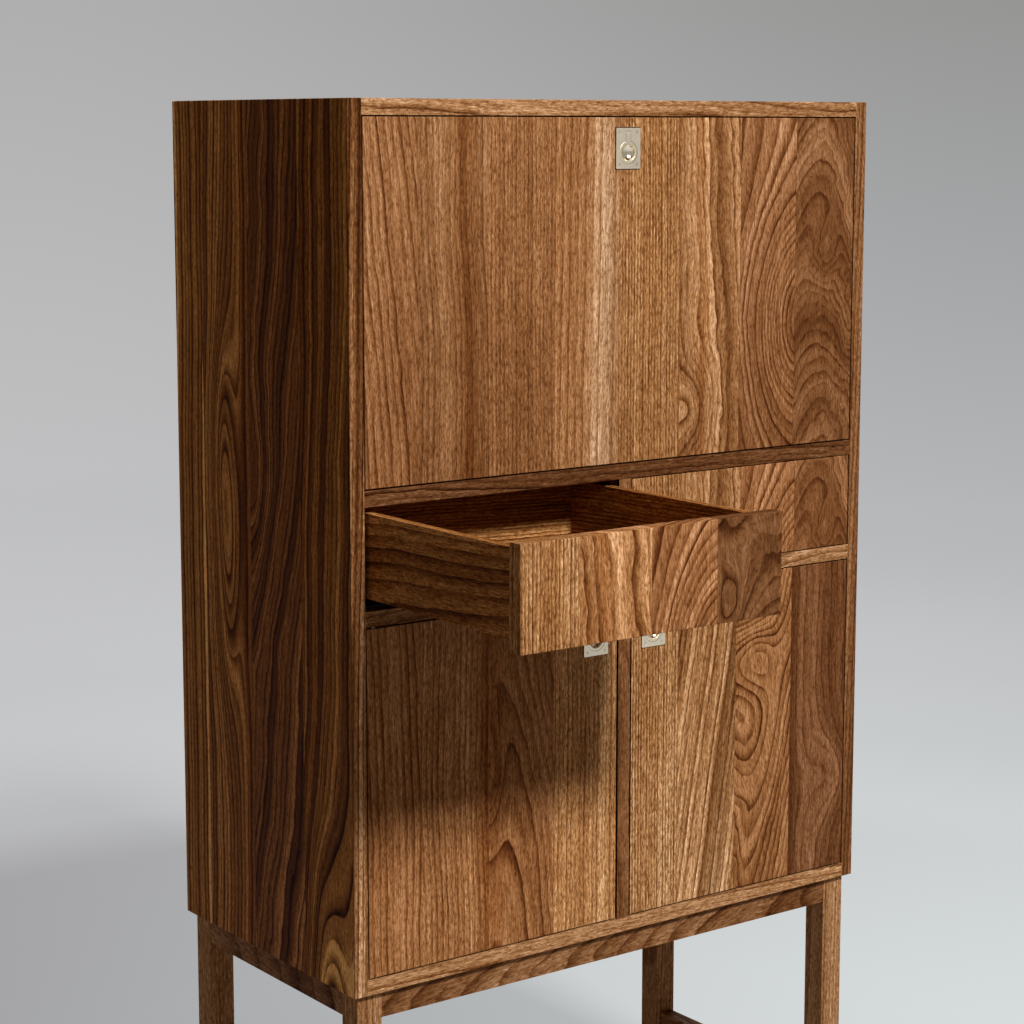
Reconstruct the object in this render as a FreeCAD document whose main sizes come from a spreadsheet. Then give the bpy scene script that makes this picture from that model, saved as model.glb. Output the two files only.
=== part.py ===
import FreeCAD, Part
import os
import Sketcher

# Bar cabinet with a fold-out shelf, two drawers, two doors and a leg frame.
#
# Frame: X to the right, Y from the front to the back, Z up, in millimetres. The origin is on the
# floor, at the centre of the ground that the cabinet covers with its left drawer standing open.

SIZES = [
    # case
    ("case_width", "900", "outside width of the case"),
    ("case_depth", "450", "outside depth of the case"),
    ("board", "21", "thickness of the side panels and level boards"),
    ("upright", "21", "thickness of the two middle uprights"),
    ("leaf_opening", "475", "height of the opening behind the fold-out shelf"),
    ("drawer_opening", "136", "height of the drawer bays"),
    ("door_opening", "471", "height of the door bays"),
    ("back_thickness", "8", "thickness of the back panel"),
    ("back_recess", "1", "back panel to the rear edges of the case"),
    ("back_lap", "10", "how far the back panel lies in its rebate"),
    ("ease", "1", "rounding of the outer wooden edges"),
    ("reveal", "2", "gap round the fold-out shelf and the doors, and at the drawers' ends"),
    ("door_gap", "3", "gap between each door and the upright in the middle"),
    ("drawer_reveal", "1.5", "gap above and below the drawer fronts"),
    ("front_thickness", "22", "thickness of the fold-out shelf, doors and drawer fronts"),
    # clearances
    ("fit", "0.05", "radial play of a pin in its bore"),
    ("slip", "0.3", "air between faces that pass each other"),
    ("bore_play", "0.1", "radial play of a dowel or screw in its hole"),
    ("bore_end", "0.5", "air at the end of a dowel"),
    # leg frame
    ("leg_height", "434", "floor to the underside of the case"),
    ("leg", "38", "side of a square leg"),
    ("leg_inset", "10", "legs to the sides, front and back of the case"),
    ("base_rail_height", "38", "height of the frame's top rails"),
    ("base_rail_thickness", "30", "thickness of the frame's top rails"),
    ("base_setback", "1", "top rails behind the legs' outer faces"),
    ("stretcher_height", "38", "height of the side stretchers"),
    ("stretcher_thickness", "24", "thickness of the side stretchers"),
    ("stretcher_top", "99.5", "top of the side stretchers above the floor"),
    ("glide_height", "3", "thickness of a foot glide"),
    ("glide_radius", "12", "radius of a foot glide"),
    ("glide_pin_radius", "1.5", "radius of a glide's pin"),
    ("glide_pin_length", "12", "length of a glide's pin"),
    # joints and fasteners
    ("dowel_radius", "4", "radius of a wood dowel"),
    ("dowel_length", "36", "length of a wood dowel"),
    ("dowel_short", "12", "length of dowel in the thinner piece"),
    ("dowel_inset", "60", "outer dowels to the front and back of a board"),
    ("dowel_shift", "30", "drawer upright's dowels further in than the door upright's"),
    ("dowel_stagger", "9", "dowels in a leg above or below the rail's middle"),
    ("back_screw_radius", "1.75", "radius of a back panel screw"),
    ("back_screw_head", "3.5", "radius of its head"),
    ("back_screw_length", "20", "length under its head"),
    ("base_bolt_inset", "10", "bolts to the inner faces of the top rails"),
    ("base_bolt_radius", "3", "radius of a bolt from frame to case"),
    ("base_bolt_head", "5.5", "radius of its head"),
    ("base_bolt_head_height", "4", "height of its head"),
    ("base_bolt_bite", "15", "length of bolt in the bottom board"),
    # shelves
    ("shelf_thickness", "18", "thickness of the loose shelves"),
    ("shelf_play", "1", "air at a shelf's ends and back"),
    ("bar_shelf_depth", "260", "depth of the bar shelf"),
    ("bar_shelf_rise", "230", "bar shelf above the raised floor"),
    ("door_shelf_setback", "60", "door shelves behind the front of the case"),
    ("door_shelf_rise", "226", "door shelves above the bottom board"),
    ("shelf_pin_radius", "2.5", "radius of a shelf pin"),
    ("shelf_pin_length", "16", "length of a shelf pin"),
    ("shelf_pin_depth", "8", "length of pin in the wood"),
    ("shelf_pin_inset", "40", "pins to the front and back of the shelf"),
    # pivot hinges
    ("pivot_in", "6", "pivot axis behind the front face"),
    ("pivot_up", "12", "pivot axis from the hinged edge of the leaf"),
    ("pivot_radius", "2", "radius of a pivot pin"),
    ("pivot_shoulder", "3.8", "radius of the shoulder that carries the leaf"),
    ("pivot_end", "1.5", "pin beyond the leaf's plate"),
    ("knife_thickness", "2.5", "thickness of a hinge plate"),
    ("knife_width", "8", "width of a hinge plate"),
    ("knife_length", "50", "length of a hinge plate"),
    ("deck_gap", "1.5", "raised floor to the swinging corner of the fold-out shelf"),
    # flush ring pulls
    ("plate_width", "42", "width of a pull's plate"),
    ("plate_height", "55", "height of a pull's plate"),
    ("plate_thickness", "2.5", "thickness of a pull's plate"),
    ("plate_proud", "1.6", "plate in front of the wooden face"),
    ("plate_play", "1.1", "air round the plate"),
    ("plate_corner", "1.2", "corner rounding of the plate"),
    ("ring_radius", "15.5", "outer radius of the ring"),
    ("ring_hole", "11.5", "inner radius of the ring"),
    ("ring_thickness", "3", "thickness of the ring"),
    ("ring_ease", "0.7", "rounding of the ring's front edges"),
    ("ring_drop", "33", "ring centre below the plate's top"),
    ("ring_pivot_drop", "6.5", "ring pivot below the plate's top"),
    ("ring_play", "0.4", "air round the ring and its stem"),
    ("stem_width", "7.7", "width of the ring's stem"),
    ("barrel_radius", "2", "radius of the ring's barrel"),
    ("trunnion_radius", "1.2", "radius of the ring's trunnions"),
    ("trunnion_length", "3", "length of trunnion in the plate"),
    ("cup_wall", "1.8", "wall of the cup behind the plate"),
    ("block_cover", "0.9", "metal above the ring's barrel"),
    ("dish_depth", "4.5", "depth of the finger dish"),
    ("screw_inset", "5.8", "pull screws to the plate's edges"),
    ("screw_radius", "1.2", "radius of a pull screw"),
    ("screw_head", "2.5", "radius of a pull screw's head"),
    ("screw_head_height", "1.3", "height of a pull screw's head"),
    ("screw_length", "12", "length of a pull screw"),
    ("recess_width", "0.7", "width of the cross cut in a pull screw's head"),
    ("recess_length", "3", "length of the cross cut"),
    ("recess_depth", "0.8", "depth of the cross cut"),
    ("leaf_pull_drop", "14", "top of the plate below the top of the fold-out shelf"),
    ("door_pull_drop", "28", "top of the plate below the top of the door"),
    ("door_pull_inset", "17", "plate to the free edge of the door"),
    # catches
    ("magnet_width", "40", "width of a magnetic catch"),
    ("magnet_depth", "14", "depth of a magnetic catch"),
    ("magnet_height", "12", "height of a magnetic catch"),
    ("striker_width", "30", "width of a striker plate"),
    ("striker_thickness", "1", "thickness of a striker plate"),
    ("door_catch_inset", "35", "middle of a door's catch to its free edge"),
    # sliding-rod stays
    ("stay_radius", "200", "pivot of the fold-out shelf to the rod's eye, and to the guide"),
    ("stay_guide_angle", "60", "degrees of the guide above the level, seen from the pivot"),
    ("stay_standoff", "9", "eye off the inner face of the fold-out shelf"),
    ("stay_side", "14", "rod to the side panel"),
    ("rod_radius", "3", "radius of the rod"),
    ("rod_play", "0.1", "radial play of the rod in the guide"),
    ("collar_radius", "5", "radius of the rod's stop collar"),
    ("collar_length", "6", "length of the stop collar"),
    ("eye_radius", "6", "radius of the rod's eye"),
    ("eye_width", "6.4", "width of the rod's eye"),
    ("post_radius", "2.5", "radius of the stay's pivot pins"),
    ("post_length", "9", "length of the case post out of the side panel"),
    ("post_depth", "8", "length of the case post in the side panel"),
    ("post_flange", "6", "radius of the post's flange"),
    ("post_flange_height", "2.7", "height of the post's flange"),
    ("guide_length", "16", "length of the guide along the rod"),
    ("guide_height", "14", "height of the guide"),
    ("guide_width", "17", "width of the guide"),
    ("bracket_sheet", "2.5", "thickness of the bracket on the fold-out shelf"),
    ("bracket_foot", "1.9", "thickness of the bracket's foot"),
    ("bracket_length", "30", "length of the bracket's foot"),
    ("bracket_width", "11.7", "width of the bracket's foot"),
    ("pin_head", "4", "radius of the bracket pin's head"),
    ("pin_head_height", "1.2", "height of the bracket pin's head"),
    # drawers
    ("drawer_pull", "330", "how far the left drawer stands open"),
    ("box_gap", "6", "drawer box to the side of its bay"),
    ("box_side", "13", "thickness of the drawer box's walls"),
    ("box_drop", "7", "top of the box below the top of the front"),
    ("box_rise", "15", "bottom of the box above the bottom of the front"),
    ("box_end_gap", "14", "closed drawer box to the back panel"),
    ("bottom_thickness", "8", "thickness of the drawer bottom"),
    ("bottom_rise", "13", "drawer bottom above the lower edge of the box"),
    ("groove", "6", "depth of the groove that holds the drawer bottom"),
    # drawer runners
    ("runner_short", "3", "rear end of the runners ahead of the closed box's rear end"),
    ("runner_sheet", "2", "sheet thickness of the outer members"),
    ("runner_flange", "36", "height of the case member on the side of the bay"),
    ("runner_start", "48", "side of the bay to the runner's channel"),
    ("runner_channel", "25", "outside width of the runner's channel"),
    ("runner_wall", "14", "height of the case member's channel"),
    ("runner_air", "1.5", "air between the case and drawer members' walls"),
    ("runner_bar", "2.5", "flange thickness of the middle member"),
    ("runner_web", "3", "web thickness of the middle member"),
    ("runner_setback", "24", "front end of the runners behind the front of the case"),
]

AXES = "xyz"
SIDES = {"left": ("X", "Min"), "right": ("X", "Max"), "front": ("Y", "Min"),
         "back": ("Y", "Max"), "bottom": ("Z", "Min"), "top": ("Z", "Max")}
ON_FACE = 1e-3
TURNED = {"x": FreeCAD.Rotation(FreeCAD.Vector(0, 1, 0), 90),
          "y": FreeCAD.Rotation(FreeCAD.Vector(1, 0, 0), -90),
          "z": FreeCAD.Rotation()}

doc = FreeCAD.newDocument("BarCabinet")
sheet = doc.addObject("Spreadsheet::Sheet", "Sizes")
for row, (alias, value, meaning) in enumerate(SIZES, start=1):
    sheet.set(f"A{row}", meaning)
    sheet.set(f"B{row}", value)
    sheet.setAlias(f"B{row}", alias)
doc.recompute()


class Length:
    """A length written as an expression on the sheet's cells."""

    def __init__(self, text):
        self.text = str(text)

    def __add__(self, other):
        return Length(f"({self.text} + {Length.of(other).text})")

    def __sub__(self, other):
        return Length(f"({self.text} - {Length.of(other).text})")

    def __mul__(self, other):
        return Length(f"({self.text} * {Length.of(other).text})")

    def __truediv__(self, other):
        return Length(f"({self.text} / {Length.of(other).text})")

    def __neg__(self):
        return Length(f"(0 - {self.text})")

    def __radd__(self, other):
        return Length.of(other) + self

    def __rsub__(self, other):
        return Length.of(other) - self

    def __rmul__(self, other):
        return Length.of(other) * self

    @staticmethod
    def of(value):
        return value if isinstance(value, Length) else Length(value)


class Cells:
    """The sheet's cells, read as lengths: S.board is the board's thickness."""

    def __getattr__(self, alias):
        return Length(f"Sizes.{alias}")


S = Cells()


def root_of(square):
    return Length(f"sqrt({square.text})")


def value_of(length):
    """The number that a length comes to with the sheet as it stands."""
    return float(sheet.evalExpression(length.text))


def span(low, high):
    """From one place to another."""
    return low, high - low


def along(base, sign, length):
    """A stretch that starts at base and runs up (1) or down (-1) the axis."""
    return (base if sign > 0 else base - length), length


def about(middle, width):
    """A stretch with its middle given."""
    return middle - width / 2, width


def shares(low, length, parts):
    """Places at the middles of equal parts of a stretch."""
    return [low + length * (2 * k + 1) / (2 * parts) for k in range(parts)]


class Piece:
    """One node of the cabinet: a body whose own origin lies at a named place."""

    all = []

    def __init__(self, label, at):
        self.label = label
        self.at = [Length.of(a) for a in at]
        self.body = doc.addObject("PartDesign::Body", label)
        self.body.Label = label
        self.place(self.body, self.at)
        self.features = 0
        Piece.all.append(self)

    @staticmethod
    def place(thing, at):
        for axis, where in zip(AXES, at):
            thing.setExpression(f"Placement.Base.{axis}", where.text)

    def feature(self, kind, axis, at, sizes):
        """Add a primitive at a place in the cabinet's frame, turned from Z to the axis."""
        self.features += 1
        made = self.body.newObject(f"PartDesign::{kind}", f"{self.label}_{kind}_{self.features}")
        made.Placement = FreeCAD.Placement(FreeCAD.Vector(), TURNED[axis])
        self.place(made, [where - own for where, own in zip(at, self.at)])
        for name, length in sizes.items():
            made.setExpression(name, Length.of(length).text)
        return made

    def add(self, x, y, z, cut=False):
        """Add a box that fills three stretches."""
        kind = "SubtractiveBox" if cut else "AdditiveBox"
        sizes = {"Length": x[1], "Width": y[1], "Height": z[1]}
        return self.feature(kind, "z", (x[0], y[0], z[0]), sizes)

    def cut(self, x, y, z):
        """Take a box out."""
        return self.add(x, y, z, cut=True)

    def rod(self, axis, run, across, radius, cut=False):
        """Add a round rod along an axis; across gives its place on the other two axes."""
        kind = "SubtractiveCylinder" if cut else "AdditiveCylinder"
        at = self.line_start(axis, run, across)
        return self.feature(kind, axis, at, {"Radius": radius, "Height": run[1]})

    def bore(self, axis, run, across, radius):
        """Take a round hole out."""
        return self.rod(axis, run, across, radius, cut=True)

    def cone(self, axis, run, across, wide, narrow, cut=False):
        """Add a cone that narrows along an axis."""
        kind = "SubtractiveCone" if cut else "AdditiveCone"
        sizes = {"Radius1": wide, "Radius2": narrow, "Height": run[1]}
        return self.feature(kind, axis, self.line_start(axis, run, across), sizes)

    @staticmethod
    def line_start(axis, run, across):
        at = [Length.of(a) for a in across]
        at.insert(AXES.index(axis), run[0])
        return at

    def ease(self, *corners, radius=None):
        """Round the edges on the named sides: "front" is that whole face's, "front top" one edge."""
        doc.recompute()
        tip = self.body.Tip
        names = [f"Edge{n}" for n, edge in enumerate(tip.Shape.Edges, start=1)
                 if any(self.on_sides(edge, tip.Shape, corner.split()) for corner in corners)]
        fillet = self.body.newObject("PartDesign::Fillet", f"{self.label}_eased")
        fillet.Base = (tip, names)
        fillet.setExpression("Radius", (radius or S.ease).text)

    @staticmethod
    def on_sides(edge, shape, sides):
        for side in sides:
            axis, end = SIDES[side]
            face = getattr(shape.BoundBox, axis + end)
            ends = (getattr(edge.BoundBox, axis + "Min"), getattr(edge.BoundBox, axis + "Max"))
            if any(abs(place - face) > ON_FACE for place in ends):
                return False
        return True

    def section(self, corners, run):
        """Add a bar along Y whose cross-section is a sketch with the given (x, z) corners."""
        self.features += 1
        sketch = self.body.newObject("Sketcher::SketchObject", f"{self.label}_sketch_{self.features}")
        plane = [f for f in self.body.Origin.OriginFeatures if f.Role == "XZ_Plane"][0]
        sketch.AttachmentSupport = [(plane, "")]
        sketch.MapMode = "FlatFace"
        sketch.setExpression("AttachmentOffset.Base.z", (self.at[1] - run[0]).text)
        corners = [(x - self.at[0], z - self.at[2]) for x, z in corners]
        drawn = [FreeCAD.Vector(value_of(x), value_of(z), 0) for x, z in corners]
        for k, corner in enumerate(drawn):
            sketch.addGeometry(Part.LineSegment(corner, drawn[(k + 1) % len(drawn)]), False)
        for k in range(len(drawn)):
            follower = (k + 1) % len(drawn)
            sketch.addConstraint(Sketcher.Constraint("Coincident", k, 2, follower, 1))
        for k, (x, z) in enumerate(corners):
            for kind, place in (("DistanceX", x), ("DistanceY", z)):
                rule = Sketcher.Constraint(kind, -1, 1, k, 1, value_of(place))
                number = sketch.addConstraint(rule)
                sketch.setExpression(f"Constraints[{number}]", place.text)
        pad = self.body.newObject("PartDesign::Pad", f"{self.label}_pad_{self.features}")
        pad.Profile = sketch
        pad.Reversed = True
        pad.setExpression("Length", run[1].text)
        return pad


# Planes of the case
front = S.drawer_pull / 2 - S.case_depth / 2
back = front + S.case_depth
right = S.case_width / 2
left = -right
case_height = S.leaf_opening + S.drawer_opening + S.door_opening + 4 * S.board
top = S.leg_height + case_height
inner_left = left + S.board
inner_right = right - S.board
inside_back = back - S.back_recess - S.back_thickness
top_under = top - S.board
bar_floor_top = top_under - S.leaf_opening
bar_floor_under = bar_floor_top - S.board
rail_top = bar_floor_under - S.drawer_opening
rail_under = rail_top - S.board
bottom_top = S.leg_height + S.board
upright_left = -S.upright / 2
upright_right = S.upright / 2
inner = span(inner_left, inner_right)
inner_depth = span(front, inside_back)
rebate_depth = span(inside_back, back)


def board(label, x, y, z):
    """A plain board, with its origin at its low corner."""
    piece = Piece(label, (x[0], y[0], z[0]))
    piece.add(x, y, z)
    return piece


# Case boards
side_panels = []
for side, low in (("left", left), ("right", inner_right)):
    panel = board(f"side_panel_{side}", (low, S.board), span(front, back), (S.leg_height, case_height))
    panel.ease(side, "front top", "back top", "front bottom", "back bottom")
    rebate = along(inner_left, -1, S.back_lap) if side == "left" else (inner_right, S.back_lap)
    panel.cut(rebate, rebate_depth, span(bottom_top - S.back_lap, top_under + S.back_lap))
    side_panels.append(panel)
panel_left, panel_right = side_panels

top_panel = board("top_panel", inner, span(front, back), (top_under, S.board))
top_panel.ease("front top", "back top")
top_panel.cut(inner, rebate_depth, (top_under, S.back_lap))

bottom_panel = board("bottom_panel", inner, span(front, back), (S.leg_height, S.board))
bottom_panel.ease("front bottom", "back bottom")
bottom_panel.cut(inner, rebate_depth, along(bottom_top, -1, S.back_lap))

bar_floor = board("bar_floor_board", inner, inner_depth, (bar_floor_under, S.board))
drawer_rail = board("drawer_rail", inner, inner_depth, (rail_under, S.board))
middle = (upright_left, S.upright)
drawer_divider = board("drawer_divider", middle, inner_depth, (rail_top, S.drawer_opening))
door_divider = board("door_divider", middle, inner_depth, (bottom_top, S.door_opening))

back_panel = board(
    "back_panel",
    span(inner_left - S.back_lap, inner_right + S.back_lap),
    (inside_back, S.back_thickness),
    span(bottom_top - S.back_lap, top_under + S.back_lap),
)

# Pivot line of the fold-out shelf, and the raised floor that is level with it when it lies open
leaf_bottom = bar_floor_top + S.reveal
leaf_top = top_under - S.reveal
pivot_y = front + S.pivot_in
pivot_z = leaf_bottom + S.pivot_up
behind_pivot = S.front_thickness - S.pivot_in
swing_reach = root_of(behind_pivot * behind_pivot + S.pivot_up * S.pivot_up)
deck_front = pivot_y + swing_reach + S.deck_gap
deck_height = pivot_z + behind_pivot - bar_floor_top
deck_top = bar_floor_top + deck_height
bar_deck = board(
    "bar_deck",
    span(inner_left + S.shelf_play, inner_right - S.shelf_play),
    span(deck_front, inside_back - S.shelf_play),
    (bar_floor_top, deck_height),
)
bar_deck.ease("front top")

# Loose shelves on pins
shelf_pins = Piece("shelf_pins", (0, front, S.leg_height))


def shelf(group, x, y, z, walls):
    """A loose shelf between two walls, and the four pins under it."""
    group.add(span(x[0] + S.shelf_play, x[0] + x[1] - S.shelf_play), y, (z, S.shelf_thickness))
    pin_z = z - S.shelf_pin_radius
    ends = ((x[0], 1, walls[0]), (x[0] + x[1], -1, walls[1]))
    for pin_y in (y[0] + S.shelf_pin_inset, y[0] + y[1] - S.shelf_pin_inset):
        for face, sign, wall in ends:
            run = along(face - sign * S.shelf_pin_depth, sign, S.shelf_pin_length)
            hole = along(face, -sign, S.shelf_pin_depth + S.bore_end)
            shelf_pins.rod("x", run, (pin_y, pin_z), S.shelf_pin_radius)
            wall.bore("x", hole, (pin_y, pin_z), S.shelf_pin_radius + S.fit)


shelf_back = inside_back - S.shelf_play
bar_shelf = Piece("bar_shelf", (inner_left, front, deck_top))
bar_shelf_z = deck_top + S.bar_shelf_rise
shelf(bar_shelf, inner, along(shelf_back, -1, S.bar_shelf_depth), bar_shelf_z, side_panels)
door_shelves = Piece("door_shelves", (0, front, bottom_top))
door_shelf_z = bottom_top + S.door_shelf_rise
door_shelf_run = span(front + S.door_shelf_setback, shelf_back)
left_bay = span(inner_left, upright_left)
right_bay = span(upright_right, inner_right)
shelf(door_shelves, left_bay, door_shelf_run, door_shelf_z, (panel_left, door_divider))
shelf(door_shelves, right_bay, door_shelf_run, door_shelf_z, (door_divider, panel_right))

# Leg frame
leg_low = S.glide_height
frame_under = S.leg_height - S.base_rail_height
rows = {"front": along(front + S.leg_inset, 1, S.leg), "back": along(back - S.leg_inset, -1, S.leg)}
columns = {"left": along(left + S.leg_inset, 1, S.leg), "right": along(right - S.leg_inset, -1, S.leg)}
glides = Piece("foot_glides", (0, front, 0))
legs = {}
for row_name, leg_y in rows.items():
    for column_name, leg_x in columns.items():
        leg = board(f"leg_{row_name}_{column_name}", leg_x, leg_y, span(leg_low, S.leg_height))
        leg.ease("left front", "right front", "left back", "right back")
        centre = (leg_x[0] + S.leg / 2, leg_y[0] + S.leg / 2)
        glides.rod("z", (Length(0), S.glide_height), centre, S.glide_radius)
        glides.rod("z", (Length(0), leg_low + S.glide_pin_length), centre, S.glide_pin_radius)
        hole = (leg_low, S.glide_pin_length + S.bore_end)
        leg.bore("z", hole, centre, S.glide_pin_radius + S.bore_play)
        legs[row_name, column_name] = leg

between_legs_x = span(left + S.leg_inset + S.leg, right - S.leg_inset - S.leg)
between_legs_y = span(front + S.leg_inset + S.leg, back - S.leg_inset - S.leg)
rail_run_z = span(frame_under, S.leg_height)
cross_rails = {}
for row_name, sign, face in (("front", 1, front), ("back", -1, back)):
    outer = face + sign * (S.leg_inset + S.base_setback)
    y = along(outer, sign, S.base_rail_thickness)
    cross_rails[row_name] = board(f"base_rail_{row_name}", between_legs_x, y, rail_run_z)
side_rails = Piece("base_side_rails", (0, between_legs_y[0], frame_under))
stretchers = Piece("side_stretchers", (0, between_legs_y[0], S.stretcher_top))
side_rail_middles = {}
for column_name, sign, face in (("left", 1, left), ("right", -1, right)):
    outer = face + sign * (S.leg_inset + S.base_setback)
    side_rails.add(along(outer, sign, S.base_rail_thickness), between_legs_y, rail_run_z)
    side_rail_middles[column_name] = outer + sign * S.base_rail_thickness / 2
    leg_middle = columns[column_name][0] + S.leg / 2
    stretcher_z = along(S.stretcher_top, -1, S.stretcher_height)
    stretchers.add(about(leg_middle, S.stretcher_thickness), between_legs_y, stretcher_z)

# Wood dowels, each bored into the two pieces that it joins
dowels = Piece("wood_dowels", (0, front, 0))


def dowel(thin, thick, axis, face, across, sign):
    """Join two pieces that meet at a plane; sign points along the axis from the thinner one."""
    low = face - S.dowel_short if sign > 0 else face - (S.dowel_length - S.dowel_short)
    hole = (low - S.bore_end, S.dowel_length + 2 * S.bore_end)
    dowels.rod(axis, (low, S.dowel_length), across, S.dowel_radius)
    for piece in (thin, thick):
        piece.bore(axis, hole, across, S.dowel_radius + S.bore_play)


dowel_rows = (front + S.dowel_inset, front + S.case_depth / 2, back - S.dowel_inset)
level_boards = ((top_panel, top_under), (bar_floor, bar_floor_under), (drawer_rail, rail_under),
                (bottom_panel, S.leg_height))
for level, under in level_boards:
    for place in dowel_rows:
        across = (place, under + S.board / 2)
        dowel(panel_left, level, "x", inner_left, across, 1)
        dowel(panel_right, level, "x", inner_right, across, -1)
centre_x = Length(0)
uprights = ((drawer_divider, bar_floor, bar_floor_under, -1), (drawer_divider, drawer_rail, rail_top, 1),
            (door_divider, drawer_rail, rail_under, -1), (door_divider, bottom_panel, bottom_top, 1))
for upright, level, face, sign in uprights:
    shift = S.dowel_shift if upright is drawer_divider else Length(0)
    for place in (front + S.dowel_inset + shift, back - S.dowel_inset - shift):
        dowel(level, upright, "z", face, (centre_x, place), sign)
for (row_name, column_name), leg in legs.items():
    to_middle = 1 if column_name == "left" else -1
    inward = 1 if row_name == "front" else -1
    leg_x, leg_y = columns[column_name], rows[row_name]
    side_face = leg_x[0] + S.leg if to_middle > 0 else leg_x[0]
    rear_face = leg_y[0] + S.leg if inward > 0 else leg_y[0]
    rail_face = front if row_name == "front" else back
    rail_y = rail_face + inward * (S.leg_inset + S.base_setback + S.base_rail_thickness / 2)
    rail_z = S.leg_height - S.base_rail_height / 2
    high, low = rail_z + S.dowel_stagger, rail_z - S.dowel_stagger
    dowel(leg, cross_rails[row_name], "x", side_face, (rail_y, high), to_middle)
    dowel(leg, side_rails, "y", rear_face, (side_rail_middles[column_name], low), inward)
    stretcher_middle = (leg_x[0] + S.leg / 2, S.stretcher_top - S.stretcher_height / 2)
    dowel(leg, stretchers, "y", rear_face, stretcher_middle, inward)

# Bolts that hold the case on its leg frame
base_bolts = Piece("base_bolts", (0, front, frame_under))
bolt_reach = S.base_rail_height + S.base_bolt_bite
bolt_places = []
bolt_setback = S.leg_inset + S.base_setback + S.base_rail_thickness - S.base_bolt_inset
for row_name, y in (("front", front + bolt_setback), ("back", back - bolt_setback)):
    for x in shares(*between_legs_x, 2):
        bolt_places.append((cross_rails[row_name], x, y))
for x in (left + bolt_setback, right - bolt_setback):
    for y in shares(*between_legs_y, 2):
        bolt_places.append((side_rails, x, y))
for rail, x, y in bolt_places:
    base_bolts.rod("z", (frame_under, S.base_bolt_head_height), (x, y), S.base_bolt_head)
    base_bolts.rod("z", (frame_under, bolt_reach), (x, y), S.base_bolt_radius)
    hole = (frame_under, bolt_reach + S.bore_end)
    rail.bore("z", (frame_under, S.base_bolt_head_height), (x, y), S.base_bolt_head + S.slip)
    for piece in (rail, bottom_panel):
        piece.bore("z", hole, (x, y), S.base_bolt_radius + S.bore_play)

# Screws that hold the back panel in its rebate
back_screws = Piece("back_screws", (0, inside_back, 0))
back_face = back - S.back_recess
screw_run = along(back_face, -1, S.back_screw_length)
screw_hole = along(back_face, -1, S.back_screw_length + S.bore_end)
edge = S.back_lap / 2
screw_places = []
for z in shares(bottom_top, top_under - bottom_top, 4):
    screw_places.append((panel_left, inner_left - edge, z))
    screw_places.append((panel_right, inner_right + edge, z))
for x in shares(*inner, 3):
    screw_places.append((top_panel, x, top_under + edge))
    screw_places.append((bottom_panel, x, bottom_top - edge))
for piece, x, z in screw_places:
    back_screws.rod("y", (back_face, S.back_recess), (x, z), S.back_screw_head)
    back_screws.rod("y", screw_run, (x, z), S.back_screw_radius)
    for holder in (piece, back_panel):
        holder.bore("y", screw_hole, (x, z), S.back_screw_radius + S.bore_play)


def pivot(holder, holder_plates, leaf, leaf_plates, axis, face, sign, middle, grow):
    """A pivot hinge between a holder's face and a leaf whose edge lies a reveal away from it.

    axis is the pivot's own, sign points along it from the holder into the leaf, middle is the
    pivot's place on the other two axes, and both plates grow along the third axis by sign grow.
    """
    edge = face + sign * S.reveal
    bed = along(face, -sign, S.knife_thickness)
    let_in = along(edge, sign, S.knife_thickness)
    end = middle[0] if axis == "z" else middle[1]
    plate_y = about(pivot_y, S.knife_width)
    plate_run = along(end - grow * S.knife_width / 2, grow, S.knife_length)
    for plates, host, deep in ((holder_plates, holder, bed), (leaf_plates, leaf, let_in)):
        box = (deep, plate_y, plate_run) if axis == "x" else (plate_run, plate_y, deep)
        host.cut(*box)
        plates.add(*box)
    reach = S.reveal + S.knife_thickness + S.pivot_end
    leaf_plates.bore(axis, let_in, middle, S.pivot_radius + S.fit)
    pin_hole = along(edge, sign, reach - S.reveal + S.bore_end)
    leaf.bore(axis, pin_hole, middle, S.pivot_radius + S.bore_end)
    holder_plates.rod(axis, along(face, sign, S.reveal - S.slip), middle, S.pivot_shoulder)
    holder_plates.rod(axis, along(face, sign, reach), middle, S.pivot_radius)


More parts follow.
